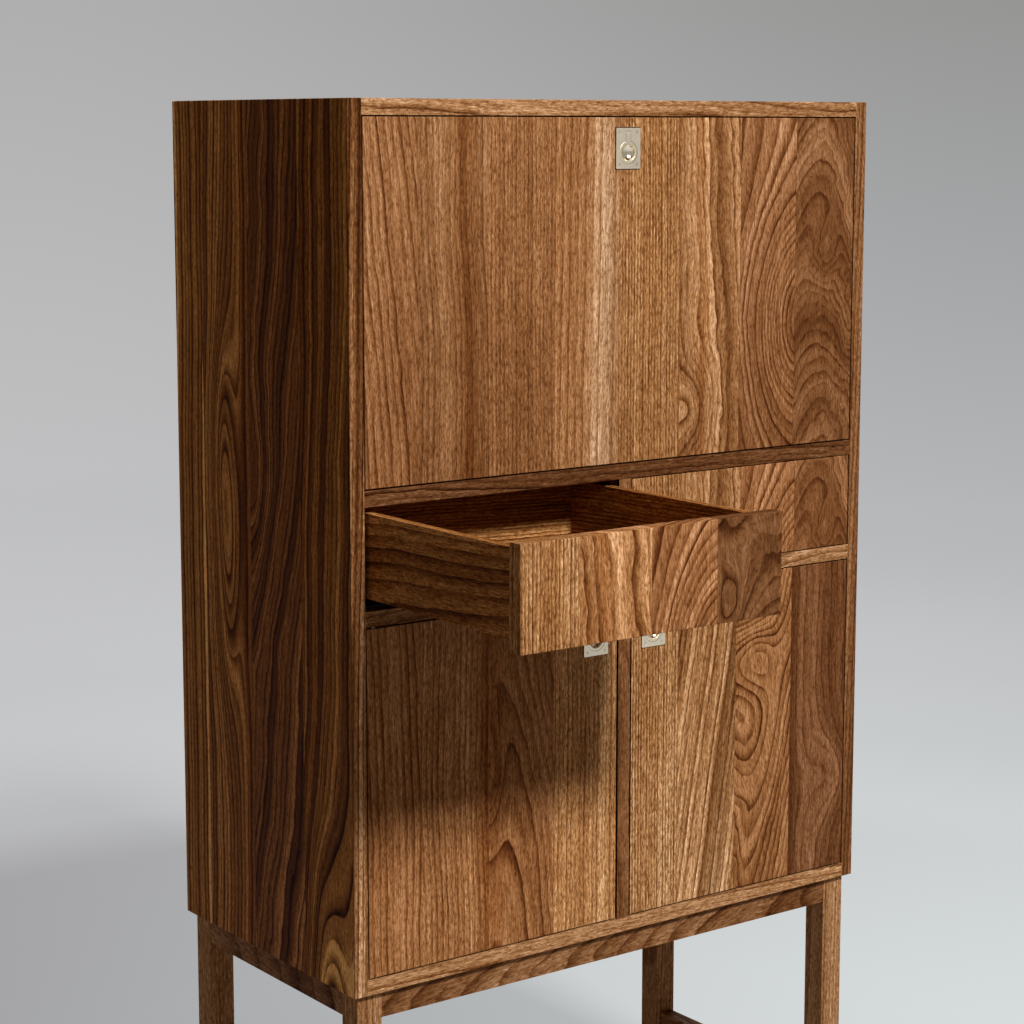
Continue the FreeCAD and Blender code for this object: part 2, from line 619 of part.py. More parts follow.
def pull(name, host, x, plate_top, face):
    """A flush ring pull let into a front: its plate with the cup, its screws and its ring."""
    plate_front = face - S.plate_proud
    ring_z = plate_top - S.ring_drop
    hinge_z = plate_top - S.ring_pivot_drop
    seat_depth = S.ring_thickness + S.slip
    seat_radius = S.ring_radius + S.ring_play
    cup_radius = seat_radius + S.cup_wall
    cup_depth = seat_depth + S.dish_depth + S.cup_wall
    barrel_y = plate_front + S.barrel_radius + S.bore_play
    barrel_room = S.barrel_radius + S.ring_play
    slot = about(x, S.stem_width + 2 * S.ring_play)
    block = about(x, slot[1] + 2 * (S.trunnion_length + S.cup_wall))
    block_top = hinge_z + barrel_room + S.block_cover
    block_depth = barrel_y - plate_front + barrel_room + S.cup_wall

    low = plate_top - S.plate_height
    plate = Piece(f"{name}_pull_plate", (x, plate_front, low))
    plate.add(about(x, S.plate_width), (plate_front, S.plate_thickness), (low, S.plate_height))
    plate.ease("left top", "right top", "left bottom", "right bottom", radius=S.plate_corner)
    plate.rod("y", (plate_front, cup_depth), (x, ring_z), cup_radius)
    plate.add(block, (plate_front, block_depth), span(ring_z, block_top))
    plate.bore("y", (plate_front, seat_depth), (x, ring_z), seat_radius)
    plate.cut(slot, (plate_front, seat_depth), span(ring_z, hinge_z))
    barrel_seat = (plate_front, barrel_y - plate_front + barrel_room)
    plate.cut(slot, barrel_seat, about(hinge_z, 2 * barrel_room))
    trunnions = about(x, slot[1] + 2 * S.trunnion_length)
    holes = about(x, trunnions[1] + 2 * S.bore_end)
    plate.bore("x", holes, (barrel_y, hinge_z), S.trunnion_radius + S.fit)
    rim = S.ring_hole - S.slip
    ball = (rim * rim + S.dish_depth * S.dish_depth) / (2 * S.dish_depth)
    ball_y = plate_front + seat_depth + S.dish_depth - ball
    plate.feature("SubtractiveSphere", "z", (x, ball_y, ring_z), {"Radius": ball})

    ring = Piece(f"{name}_pull_ring", (x, barrel_y, hinge_z))
    ring_run = (plate_front, S.ring_thickness)
    ring.rod("y", ring_run, (x, ring_z), S.ring_radius)
    ring.bore("y", ring_run, (x, ring_z), S.ring_hole)
    ring.ease("front", radius=S.ring_ease)
    stem_foot = ring_z + (S.ring_hole + S.ring_radius) / 2
    ring.add(about(x, S.stem_width), ring_run, span(stem_foot, hinge_z))
    ring.rod("x", about(x, S.stem_width), (barrel_y, hinge_z), S.barrel_radius)
    ring.rod("x", trunnions, (barrel_y, hinge_z), S.trunnion_radius)

    room = S.plate_play
    mortise = (face, S.plate_thickness - S.plate_proud)
    host.cut(about(x, S.plate_width + 2 * room), mortise, (low - room, S.plate_height + 2 * room))
    host.bore("y", (face, cup_depth - S.plate_proud + room), (x, ring_z), cup_radius + room)
    deep = (face, block_depth - S.plate_proud + room)
    host.cut(about(x, block[1] + 2 * room), deep, span(ring_z, block_top + room))

    screws = Piece(f"{name}_pull_screws", (x, plate_front, low))
    head = (plate_front, S.screw_head_height)
    shank = (plate_front, S.screw_length)
    for screw_x in (x - S.plate_width / 2 + S.screw_inset, x + S.plate_width / 2 - S.screw_inset):
        for screw_z in (low + S.screw_inset, plate_top - S.screw_inset):
            across = (screw_x, screw_z)
            screws.cone("y", head, across, S.screw_head, S.screw_radius)
            screws.rod("y", shank, across, S.screw_radius)
            cross = (S.recess_width, S.recess_length)
            for width, height in (cross, cross[::-1]):
                recess = (plate_front, S.recess_depth)
                screws.cut(about(screw_x, width), recess, about(screw_z, height))
            hole = S.screw_radius + S.bore_play
            plate.cone("y", head, across, S.screw_head + S.bore_play, hole, cut=True)
            for piece in (plate, host):
                piece.bore("y", (shank[0], shank[1] + S.bore_end), across, hole)
    return ring


def catch(host_fittings, x, ceiling):
    """A magnet under a board, and its striker plate on the back of a front."""
    inner_face = front + S.front_thickness
    striker_z = along(ceiling - S.reveal, -1, S.magnet_height - S.reveal)
    host_fittings.add(about(x, S.striker_width), (inner_face, S.striker_thickness), striker_z)
    magnet_y = (inner_face + S.striker_thickness + S.slip, S.magnet_depth)
    magnets.add(about(x, S.magnet_width), magnet_y, along(ceiling, -1, S.magnet_height))


magnets = Piece("magnetic_catches", (0, front, bottom_top))
leaf_plates_case = Piece("leaf_pivot_plates", (0, pivot_y, pivot_z))
door_plates_case = Piece("door_pivot_plates", (0, pivot_y, bottom_top))

# Fold-out shelf
leaf_x = span(inner_left + S.reveal, inner_right - S.reveal)
leaf = board("drop_front", leaf_x, (front, S.front_thickness), span(leaf_bottom, leaf_top))
leaf.ease("front")
leaf_fittings = Piece("drop_front_fittings", (0, pivot_y, pivot_z))
for panel, face, sign in ((panel_left, inner_left, 1), (panel_right, inner_right, -1)):
    middle = (pivot_y, pivot_z)
    pivot(panel, leaf_plates_case, leaf, leaf_fittings, "x", face, sign, middle, 1)
pull("drop_front", leaf, centre_x, leaf_top - S.leaf_pull_drop, front)
catch(leaf_fittings, centre_x, top_under)

# Doors
door_z = span(bottom_top + S.reveal, rail_under - S.reveal)
door_bays = (("left", 1, inner_left, upright_left), ("right", -1, inner_right, upright_right))
for side, sign, wall, post in door_bays:
    hinge_edge = wall + sign * S.reveal
    free_edge = post - sign * S.door_gap
    door_x = span(hinge_edge, free_edge) if sign > 0 else span(free_edge, hinge_edge)
    door = board(f"door_{side}", door_x, (front, S.front_thickness), door_z)
    door.ease("front")
    fittings = Piece(f"door_{side}_fittings", (hinge_edge, pivot_y, door_z[0]))
    middle = (hinge_edge + sign * S.pivot_up, pivot_y)
    pivot(bottom_panel, door_plates_case, door, fittings, "z", bottom_top, 1, middle, sign)
    pivot(drawer_rail, door_plates_case, door, fittings, "z", rail_under, -1, middle, sign)
    pull_x = free_edge - sign * (S.door_pull_inset + S.plate_width / 2)
    pull(f"door_{side}", door, pull_x, door_z[0] + door_z[1] - S.door_pull_drop, front)
    catch(fittings, free_edge - sign * S.door_catch_inset, rail_under)

# Sliding-rod stays of the fold-out shelf
eye_behind = behind_pivot + S.stay_standoff
eye_y = pivot_y + eye_behind
eye_z = pivot_z + root_of(S.stay_radius * S.stay_radius - eye_behind * eye_behind)
guide_y = pivot_y + S.stay_radius * Length("cos(Sizes.stay_guide_angle)")
guide_z = pivot_z + S.stay_radius * Length("sin(Sizes.stay_guide_angle)")
eye_angle = Length(f"(acos({(eye_behind / S.stay_radius).text}) / 1 deg)")
rod_tilt = (eye_angle + S.stay_guide_angle) / 2 - 90
open_half_angle = (eye_angle + 90 - S.stay_guide_angle) / 2
open_reach = 2 * S.stay_radius * Length(f"sin({open_half_angle.text})")
rod_length = open_reach + S.guide_length / 2 + S.slip + S.collar_length
stay_brackets = Piece("stay_brackets", (0, pivot_y, pivot_z))
stay_posts = Piece("stay_posts", (0, guide_y, guide_z))
leaf_inner = front + S.front_thickness
stay_sides = (("left", 1, panel_left, inner_left), ("right", -1, panel_right, inner_right))
for side, sign, panel, face in stay_sides:
    rod_x = face + sign * S.stay_side
    eye_side = rod_x + sign * S.eye_width / 2
    ear_x = along(eye_side + sign * S.slip, sign, S.bracket_sheet)
    ear_end = ear_x[0] + S.bracket_sheet if sign > 0 else ear_x[0]
    foot_x = along(ear_end, -sign, S.bracket_width)
    stay_brackets.add(foot_x, (leaf_inner, S.bracket_foot), about(eye_z, S.bracket_length))
    ear_y = (leaf_inner, S.stay_standoff + S.eye_radius)
    stay_brackets.add(ear_x, ear_y, about(eye_z, 2 * S.eye_radius))
    pin_run = S.bracket_sheet + S.eye_width + 2 * S.slip + S.pin_head_height
    stay_brackets.rod("x", along(ear_end, -sign, pin_run), (eye_y, eye_z), S.post_radius)
    head_x = along(rod_x - sign * (S.eye_width / 2 + S.slip), -sign, S.pin_head_height)
    stay_brackets.rod("x", head_x, (eye_y, eye_z), S.pin_head)

    rod = Piece(f"stay_rod_{side}", (rod_x, eye_y, eye_z))
    rod.rod("x", about(rod_x, S.eye_width), (eye_y, eye_z), S.eye_radius)
    rod.rod("y", (eye_y, rod_length), (rod_x, eye_z), S.rod_radius)
    collar_run = along(eye_y + rod_length, -1, S.collar_length)
    rod.rod("y", collar_run, (rod_x, eye_z), S.collar_radius)
    rod.bore("x", about(rod_x, S.eye_width), (eye_y, eye_z), S.post_radius + S.fit)

    guide_low = face + sign * (S.post_flange_height + S.slip)
    guide = Piece(f"stay_guide_{side}", (rod_x, guide_y, guide_z))
    guide_box = (about(guide_y, S.guide_length), about(guide_z, S.guide_height))
    guide.add(along(guide_low, sign, S.guide_width), *guide_box)
    guide.bore("y", about(guide_y, S.guide_length), (rod_x, guide_z), S.rod_radius + S.rod_play)
    socket = along(guide_low, sign, S.post_length - S.post_flange_height)
    guide.bore("x", socket, (guide_y, guide_z), S.post_radius + S.fit)
    for swung in (rod, guide):
        about_x = FreeCAD.Rotation(FreeCAD.Vector(1, 0, 0), 1)
        swung.body.Placement = FreeCAD.Placement(FreeCAD.Vector(), about_x)
        swung.place(swung.body, swung.at)
        swung.body.setExpression("Placement.Rotation.Angle", rod_tilt.text)

    across = (guide_y, guide_z)
    post_low = face - sign * S.post_depth
    stay_posts.rod("x", along(post_low, sign, S.post_depth + S.post_length), across, S.post_radius)
    stay_posts.rod("x", along(face, sign, S.post_flange_height), across, S.post_flange)
    panel.bore("x", along(face, -sign, S.post_depth + S.bore_end), across, S.post_radius + S.bore_play)

# Drawers on their runners
front_low = rail_top + S.drawer_reveal
front_z = span(front_low, bar_floor_under - S.drawer_reveal)
box_low = front_low + S.box_rise
box_high = front_low + front_z[1] - S.box_drop
bottom_low = box_low + S.bottom_rise
case_members = Piece("runner_case_members", (0, front, rail_top))


def runner(members, wall, sign, outline, y):
    """Add one runner member: outline gives (out, up) corners from the foot of the bay's side."""
    members.section([(wall + sign * out, rail_top + up) for out, up in outline], y)


def case_member_outline():
    """An angle on the side of the bay with an open channel on the bay's floor."""
    none, sheet_, end = Length(0), S.runner_sheet, S.runner_start + S.runner_channel
    high, start = S.runner_wall, S.runner_start
    return [(none, none), (end, none), (end, high), (end - sheet_, high), (end - sheet_, sheet_),
            (start + sheet_, sheet_), (start + sheet_, high), (start, high), (start, sheet_),
            (sheet_, sheet_), (sheet_, S.runner_flange), (none, S.runner_flange)]


def drawer_member_outline():
    """A channel that opens downwards, under the drawer bottom."""
    sheet_, start, end = S.runner_sheet, S.runner_start, S.runner_start + S.runner_channel
    low, high = S.runner_wall + S.runner_air, bottom_low - rail_top
    return [(start, low), (start + sheet_, low), (start + sheet_, high - sheet_),
            (end - sheet_, high - sheet_), (end - sheet_, low), (end, low), (end, high), (start, high)]


def middle_member_outline():
    """A flanged bar that runs in both channels."""
    start = S.runner_start + S.runner_sheet + S.slip
    end = S.runner_start + S.runner_channel - S.runner_sheet - S.slip
    low, high = S.runner_sheet + S.slip, bottom_low - rail_top - S.runner_sheet - S.slip
    web = ((start + end - S.runner_web) / 2, (start + end + S.runner_web) / 2)
    foot, head = low + S.runner_bar, high - S.runner_bar
    return [(start, low), (end, low), (end, foot), (web[1], foot), (web[1], head), (end, head),
            (end, high), (start, high), (start, head), (web[0], head), (web[0], foot), (start, foot)]


box_length = inside_back - S.box_end_gap - front - S.front_thickness
runner_y = front + S.runner_setback
runner_length = S.front_thickness + box_length - S.runner_short - S.runner_setback
for side, bay, out in (("left", left_bay, S.drawer_pull), ("right", right_bay, Length(0))):
    name = f"drawer_{side}"
    face_y = front - out
    box_y = (face_y + S.front_thickness, box_length)
    front_x = (bay[0] + S.reveal, bay[1] - 2 * S.reveal)
    drawer_front = board(f"{name}_front", front_x, (face_y, S.front_thickness), front_z)
    drawer_front.ease("front")

    outer_x = (bay[0] + S.box_gap, bay[1] - 2 * S.box_gap)
    inside_x = (outer_x[0] + S.box_side, outer_x[1] - 2 * S.box_side)
    box_z = span(box_low, box_high)
    walls = Piece(f"{name}_walls", (outer_x[0], box_y[0], box_low))
    for low in (outer_x[0], inside_x[0] + inside_x[1]):
        walls.add((low, S.box_side), box_y, box_z)
    bottom_x = (inside_x[0] - S.groove, inside_x[1] + 2 * S.groove)
    bottom_y = (box_y[0] - S.groove, box_y[1] + S.groove)
    bottom_z = (bottom_low, S.bottom_thickness)
    walls.cut(bottom_x, bottom_y, bottom_z)
    bottom_high = bottom_low + S.bottom_thickness
    rear_y = along(box_y[0] + box_y[1], -1, S.box_side)
    walls.add(inside_x, rear_y, span(bottom_high, box_high))
    drawer_front.cut(bottom_x, bottom_y, bottom_z)
    board(f"{name}_bottom", bottom_x, bottom_y, bottom_z)

    drawer_members = Piece(f"{name}_runner_members", (bay[0], face_y, rail_top))
    middle_members = Piece(f"runner_slides_{side}", (bay[0], front - out / 2, rail_top))
    for wall, sign in ((bay[0], 1), (bay[0] + bay[1], -1)):
        runner(case_members, wall, sign, case_member_outline(), (runner_y, runner_length))
        middle_y = (runner_y - out / 2, runner_length)
        runner(middle_members, wall, sign, middle_member_outline(), middle_y)
        runner(drawer_members, wall, sign, drawer_member_outline(), (runner_y - out, runner_length))


def faults():
    """Everything in the document that did not build."""
    found = []
    for thing in doc.Objects:
        if "Invalid" in thing.State or "Error" in thing.State:
            found.append(f"{thing.Label}: {thing.State}")
    for piece in Piece.all:
        shape = piece.body.Shape
        if shape.isNull() or not shape.isValid() or not shape.Solids:
            found.append(f"{piece.label}: no valid solid")
    return found


doc.recompute()
wrong = faults()
if wrong:
    raise SystemExit("\n".join(wrong))
os.makedirs("parts", exist_ok=True)
for piece in Piece.all:
    piece.body.Shape.exportStep(f"parts/{piece.body.Label}.step")
    solids = piece.body.Shape.Solids
    print(f"{piece.label}: {len(solids)} solid(s), {sum(s.Volume for s in solids):.0f} mm3")
print(len(Piece.all), "nodes")
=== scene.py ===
"""A walnut bar cabinet with a fold-out shelf, dressed and lit for a plain studio."""

import logging
import math
import random
from dataclasses import dataclass, replace
from enum import Enum
from typing import Any, Mapping, Optional, Sequence, Union

import bpy
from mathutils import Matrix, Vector


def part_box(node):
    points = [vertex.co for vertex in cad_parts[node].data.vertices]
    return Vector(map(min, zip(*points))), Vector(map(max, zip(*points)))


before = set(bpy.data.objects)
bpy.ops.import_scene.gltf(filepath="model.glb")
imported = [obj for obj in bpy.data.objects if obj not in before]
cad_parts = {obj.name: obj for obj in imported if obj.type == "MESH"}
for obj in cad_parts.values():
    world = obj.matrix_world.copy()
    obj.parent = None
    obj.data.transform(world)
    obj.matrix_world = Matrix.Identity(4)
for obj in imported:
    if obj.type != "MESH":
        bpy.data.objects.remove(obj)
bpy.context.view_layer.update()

LOG = logging.getLogger("cabinet")

Pair = tuple[float, float]
Triple = tuple[float, float, float]
Value = Union["Signal", float, Triple]


# ---------------------------------------------------------------- node work


class Signal:
    """A node's output socket that takes part in Python expressions."""

    def __init__(self, bench: "Bench", socket: bpy.types.NodeSocket) -> None:
        """Keeps the socket, and the bench on which its nodes are made."""
        self.bench = bench
        self.socket = socket

    @property
    def wide(self) -> bool:
        """Whether the socket carries three values."""
        return self.socket.type in {"VECTOR", "RGBA"}

    def _join(self, operation: str, other: Value, swapped: bool = False) -> "Signal":
        """Adds the node that works out one operation.

        Args:
            operation: The operation's name in Blender.
            other: The second operand.
            swapped: Whether the second operand stands first.

        Returns:
            The result.
        """
        first, second = (other, self) if swapped else (self, other)
        wide = self.wide or isinstance(other, tuple)
        wide = wide or (isinstance(other, Signal) and other.wide)
        kind = "ShaderNodeVectorMath" if wide else "ShaderNodeMath"
        return self.bench.add(kind, {"operation": operation}, {0: first, 1: second})

    def __add__(self, other: Value) -> "Signal":
        """self + other."""
        return self._join("ADD", other)

    def __radd__(self, other: Value) -> "Signal":
        """other + self."""
        return self._join("ADD", other, True)

    def __sub__(self, other: Value) -> "Signal":
        """self - other."""
        return self._join("SUBTRACT", other)

    def __rsub__(self, other: Value) -> "Signal":
        """other - self."""
        return self._join("SUBTRACT", other, True)

    def __mul__(self, other: Value) -> "Signal":
        """self * other."""
        return self._join("MULTIPLY", other)

    def __rmul__(self, other: Value) -> "Signal":
        """other * self."""
        return self._join("MULTIPLY", other, True)

    def __truediv__(self, other: Value) -> "Signal":
        """self / other."""
        return self._join("DIVIDE", other)

    def __rtruediv__(self, other: Value) -> "Signal":
        """other / self."""
        return self._join("DIVIDE", other, True)

    def __pow__(self, other: float) -> "Signal":
        """self ** other."""
        return self._join("POWER", other)

    def above(self, level: float) -> "Signal":
        """1 where the value is greater than the level, else 0."""
        return self._join("GREATER_THAN", level)

    def least(self, level: float) -> "Signal":
        """The value, never under the level."""
        return self._join("MAXIMUM", level)

    def plain(self, operation: str) -> "Signal":
        """Adds a Math node of one operand, such as FRACT or SQRT."""
        return self.bench.add("ShaderNodeMath", {"operation": operation}, {0: self})

    def rise(self, low: float, high: float) -> "Signal":
        """A smooth step.

        Args:
            low: Where it leaves 0.
            high: Where it reaches 1.

        Returns:
            A value from 0 to 1.
        """
        return self.bench.add(
            "ShaderNodeMapRange",
            {"interpolation_type": "SMOOTHSTEP"},
            {"Value": self, "From Min": low, "From Max": high},
        )

    def parts(self) -> tuple["Signal", "Signal", "Signal"]:
        """Splits a wide signal.

        Returns:
            Its three values.
        """
        split = self.bench.add("ShaderNodeSeparateXYZ", {}, {0: self})
        outputs = split.socket.node.outputs
        return tuple(Signal(self.bench, outputs[i]) for i in range(3))


class Bench:
    """The node tree of one finish, and the maker of all its nodes."""

    def __init__(self, name: str, tree: Optional[bpy.types.NodeTree] = None) -> None:
        """Starts an empty tree.

        Args:
            name: The new material's name, if one is made.
            tree: A tree to use in place of a new material's.
        """
        self.material: Optional[bpy.types.Material] = None
        if tree is None:
            self.material = bpy.data.materials.new(name)
            self.material.use_nodes = True
            tree = self.material.node_tree
        self.tree = tree
        self.tree.nodes.clear()

    def add(
        self,
        kind: str,
        settings: Optional[Mapping[str, Any]] = None,
        sockets: Optional[Mapping[Union[int, str], Any]] = None,
        out: Union[int, str] = 0,
    ) -> Signal:
        """Adds one node.

        Args:
            kind: The node's type.
            settings: Its settings, which are set first; "stops" are a ramp's.
            sockets: Values or signals for its input sockets.
            out: The output that is wanted.

        Returns:
            That output, or the first input of a node that has no output.
        """
        node = self.tree.nodes.new(kind)
        for key, value in (settings or {}).items():
            if key == "stops":
                self._stops(node.color_ramp, value)
            elif key == "ramp":
                node.color_ramp.interpolation = value
            else:
                setattr(node, key, value)
        for key, value in (sockets or {}).items():
            self._feed(node.inputs[key], value)
        return Signal(self, node.outputs[out]) if node.outputs else Signal(self, node.inputs[0])

    def _feed(self, socket: bpy.types.NodeSocket, value: Any) -> None:
        """Links a signal to a socket, or sets the socket's own value.

        Args:
            socket: The input socket.
            value: A signal, a number or three numbers.
        """
        if isinstance(value, Signal):
            self.tree.links.new(value.socket, socket)
        elif socket.type == "VECTOR" and not isinstance(value, tuple):
            socket.default_value = (value, value, value)
        elif socket.type == "RGBA" and len(value) == 3:
            socket.default_value = (*value, 1.0)
        else:
            socket.default_value = value

    @staticmethod
    def _stops(ramp: bpy.types.ColorRamp, stops: Sequence[tuple[float, Triple]]) -> None:
        """Gives a ramp its stops.

        Args:
            ramp: The ramp.
            stops: The place and colour of each stop.
        """
        while len(ramp.elements) > 1:
            ramp.elements.remove(ramp.elements[-1])
        for number, (place, colour) in enumerate(stops):
            stop = ramp.elements[0] if number == 0 else ramp.elements.new(place)
            stop.position = place
            stop.color = (*colour, 1.0)

    def place(self) -> tuple[Signal, Signal, Signal]:
        """The point on the piece, in metres, at rest."""
        return self.add("ShaderNodeTexCoord", out="Object").parts()

    def join(self, x: Value, y: Value, z: Value) -> Signal:
        """Three values as one wide signal."""
        return self.add("ShaderNodeCombineXYZ", {}, {0: x, 1: y, 2: z})

    def noise(self, point: Signal, detail: float = 1.0, roughness: float = 0.5) -> Signal:
        """Smooth noise about 0, with features about one unit wide.

        Args:
            point: A wide signal, or one value for noise along a line.
            detail: The number of finer layers.
            roughness: How strong the finer layers are.

        Returns:
            A value from about -0.5 to 0.5.
        """
        axes, name = ("3D", "Vector") if point.wide else ("1D", "W")
        made = self.add(
            "ShaderNodeTexNoise",
            {"noise_dimensions": axes},
            {name: point, "Scale": 1.0, "Detail": detail, "Roughness": roughness},
        )
        return made - 0.5

    def blend(self, share: Value, first: Value, second: Value) -> Signal:
        """One value from two.

        Args:
            share: 0 gives the first and 1 the second.
            first: A number or a signal.
            second: A number or a signal.

        Returns:
            The blended value.
        """
        return self.add("ShaderNodeMix", {"data_type": "FLOAT"}, {0: share, 2: first, 3: second})

    def tint(self, share: Value, first: Value, second: Value) -> Signal:
        """One colour from two.

        Args:
            share: 0 gives the first and 1 the second.
            first: A colour or a signal.
            second: A colour or a signal.

        Returns:
            The mixed colour.
        """
        return self.add(
            "ShaderNodeMix", {"data_type": "RGBA"}, {0: share, 6: first, 7: second}, out=2
        )

    def grain(self, scales: Triple, detail: float = 2.0) -> Signal:
        """Noise over a piece, by its features a metre along x, y and z."""
        return self.noise(self.join(*(p * s for p, s in zip(self.place(), scales))), detail)

    def relief(self, strength: float, distance: float, height: Signal) -> Signal:
        """Bumps in the surface, as a normal.

        Args:
            strength: How strongly they show.
            distance: How high they stand, in metres.
            height: Where they stand.

        Returns:
            The normal.
        """
        values = {"Strength": strength, "Distance": distance, "Height": height}
        return self.add("ShaderNodeBump", {}, values)

    def close(self, shader: Signal) -> None:
        """Ends a material with its surface shader."""
        self.add("ShaderNodeOutputMaterial", {}, {"Surface": shader})

    def finish(self, **values: Value) -> bpy.types.Material:
        """Ends the material with a surface of the usual kind.

        Args:
            values: The surface's sockets, with _ for a space, and what feeds them.

        Returns:
            The finished material.
        """
        sockets = {name.replace("_", " "): value for name, value in values.items()}
        self.close(self.add("ShaderNodeBsdfPrincipled", {}, sockets))
        return self.material


def linear(red: float, green: float, blue: float) -> Triple:
    """A colour as light values.

    Args:
        red: Its red as seen on screen, of 0 to 255.
        green: Its green.
        blue: Its blue.

    Returns:
        The same colour in light values of 0 to 1.
    """

    def one(part: float) -> float:
        """One channel of the colour."""
        share = part / 255.0
        return share / 12.92 if share <= 0.04045 else ((share + 0.055) / 1.055) ** 2.4

    return one(red), one(green), one(blue)


# ---------------------------------------------------------------- walnut


class Axis(Enum):
    """A direction of the cabinet: across it, from front to back, and up."""

    X = 0
    Y = 1
    Z = 2


@dataclass(frozen=True)
class Stave:
    """One strip of wood in a glued-up board, with its own figure.

    Lengths are in metres, and contrasts are natural logarithms of brightness.

    Attributes:
        edge: Where the stave ends across the board.
        tone: Its middle colour, of 0 to 255.
        pith: Where the tree's middle lies, across and into the board.
        taper: How fast the rings widen along the grain.
        spacing: The rings' width.
        ring: The rings' contrast.
        fibre: The fibre's contrast.
        band: The contrast of broad colour bands.
        curl: How far the grain twists, over a short reach.
        sway: How far it wanders, over a long reach.
        eye: A knot's place across and along, its rise, and its reach across and along.
        streak: A streak's place across, its width and its contrast.
        fleck: The contrast of specks.
        fade: How fast the stave lightens along the grain, and where that is nothing.
    """

    edge: float
    tone: Triple
    pith: Pair = (-0.7, 0.25)
    taper: float = 0.01
    spacing: float = 0.009
    ring: float = 0.5
    fibre: float = 0.35
    band: float = 0.25
    curl: float = 0.002
    sway: float = 0.006
    eye: tuple[float, float, float, float, float] = (0.0, 0.0, 0.0, 0.05, 0.1)
    streak: Triple = (0.0, 0.02, 0.0)
    fleck: float = 0.35
    fade: Pair = (0.0, 1.0)

    @property
    def lean(self) -> float:
        """How far the fibres drift sideways along the grain.

        Returns:
            The drift for each metre; nothing near the pith.
        """
        if abs(self.pith[0] - self.edge) < NEAR_PITH:
            return 0.0
        drift = FIBRE_FOLLOWS * self.taper
        return math.copysign(drift, (self.edge - self.pith[0]) * self.taper)

    def values(self) -> dict[str, float]:
        """Everything that changes from stave to stave but the tone.

        Returns:
            The values by the names that STAVE_RAMPS has for them.
        """
        names = ("taper", "spacing", "ring", "fibre", "band", "curl", "sway", "lean", "fleck")
        found = {name: getattr(self, name) for name in names}
        found["pith_u"], found["pith_v"] = self.pith
        found["eye_u"], found["eye_w"], found["eye_rise"] = self.eye[:3]
        found["eye_across"], found["eye_along"] = self.eye[3:]
        found["streak_u"], found["streak_wide"], found["streak"] = self.streak
        found["fade"], found["fade_middle"] = self.fade
        return found


@dataclass(frozen=True)
class Span:
    """The range in which a stave's value is kept while it passes through a ramp.

    Attributes:
        low: The value that is 0 in the ramp.
        high: The value that is 1 in it.
    """

    low: float
    high: float

    def pack(self, value: float) -> float:
        """The value as a share of the range."""
        return (value - self.low) / (self.high - self.low)

    def unpack(self, share: Signal) -> Signal:
        """The value again, from its share."""
        return share * (self.high - self.low) + self.low


@dataclass(frozen=True)
class Cut:
    """How a board is sawn: which way its grain runs, and where its figure starts.

    Attributes:
        across: The direction across the grain and along the face.
        depth: The direction into the board.
        along: The direction of the grain.
        shift: How far the figure is moved across, into and along the grain, in metres.
        seed: Makes this board's noise its own.
        turned_behind: Behind this depth of the cabinet the grain runs the other way.
        turned_between: Where that holds, from left to right.
    """

    across: Axis
    depth: Axis
    along: Axis
    shift: Triple = (0.0, 0.0, 0.0)
    seed: float = 0.0
    turned_behind: Optional[float] = None
    turned_between: Pair = (0.0, 0.0)


@dataclass(frozen=True)
class Layer:
    """One noise of the wood.

    Attributes:
        across: Its features a metre across and into the grain.
        along: Its features a metre along the grain.
        detail: The number of finer layers.
        roughness: How strong the finer layers are.
        moved: How a stave's own number moves it, across and along the grain.
    """

    across: float
    along: float
    detail: float
    roughness: float = 0.5
    moved: Pair = (1.0, 1.0)

    def lay(self, bench: Bench, point: Sequence[Signal], own: Value) -> Signal:
        """Makes the noise.

        Args:
            bench: The finish's node maker.
            point: The point across, into and along the grain.
            own: The stave's own number.

        Returns:
            A value from about -0.5 to 0.5.
        """
        u, v, w = point
        place = bench.join(
            u * self.across + own * self.moved[0],
            v * self.across,
            w * self.along + own * self.moved[1],
        )
        return bench.noise(place, self.detail, self.roughness)


@dataclass(frozen=True)
class Strengths:
    """How strongly each part of walnut's figure shows, on all boards alike.

    Attributes:
        wander: How far sway and curl bend the grain.
        climb_slow: How far slow noise moves the rings along the grain, in metres.
        climb_twist: How far twisting noise moves them.
        line_power: How narrow a ring's dark line is.
        line_end: Where in a ring its line begins to end, and where it has ended.
        early_wood: How much lighter the wood between the lines is.
        line: A line's usual strength.
        line_uneven: How much that changes from ring to ring.
        line_patch: How much it changes along a ring.
        broad: Broad colour bands.
        narrow: Narrow colour bands.
        fibre: The fibre.
        fibre_base: How much lighter the fibre is on the whole.
        pore: How dark pores are.
        speck: Specks.
        cloud: Clouds.
        glow_cloud: How much clouds break up a streak.
        glow_patch: How much patches break it up.
        warm_red: How far red follows the shade, and a streak.
        warm_blue: How far blue follows them.
        gloss_shade: How much glossier light wood is.
        gloss_pore: How much rougher pores are.
        gloss_least: The least roughness.
        rise: How far the fibre stands up, and how deep pores and lines lie.
        bump: How strongly that shows in the gloss.
        relief: How high it stands, in metres.
    """

    wander: float = 2.4
    climb_slow: float = 0.3
    climb_twist: float = 0.07
    line_power: float = 3.0
    line_end: Pair = (0.9, 1.0)
    early_wood: float = 0.3
    line: float = 1.7
    line_uneven: float = 4.5
    line_patch: float = 5.0
    broad: float = 3.4
    narrow: float = 2.8
    fibre: float = 7.4
    fibre_base: float = 0.2
    pore: float = 0.9
    speck: float = 6.2
    cloud: float = 0.7
    glow_cloud: float = 1.6
    glow_patch: float = 1.4
    warm_red: Pair = (0.76, 0.16)
    warm_blue: Pair = (1.34, 0.2)
    gloss_shade: float = 0.06
    gloss_pore: float = 0.12
    gloss_least: float = 0.2
    rise: Triple = (0.5, 0.8, 0.5)
    bump: float = 0.35
    relief: float = 0.0004


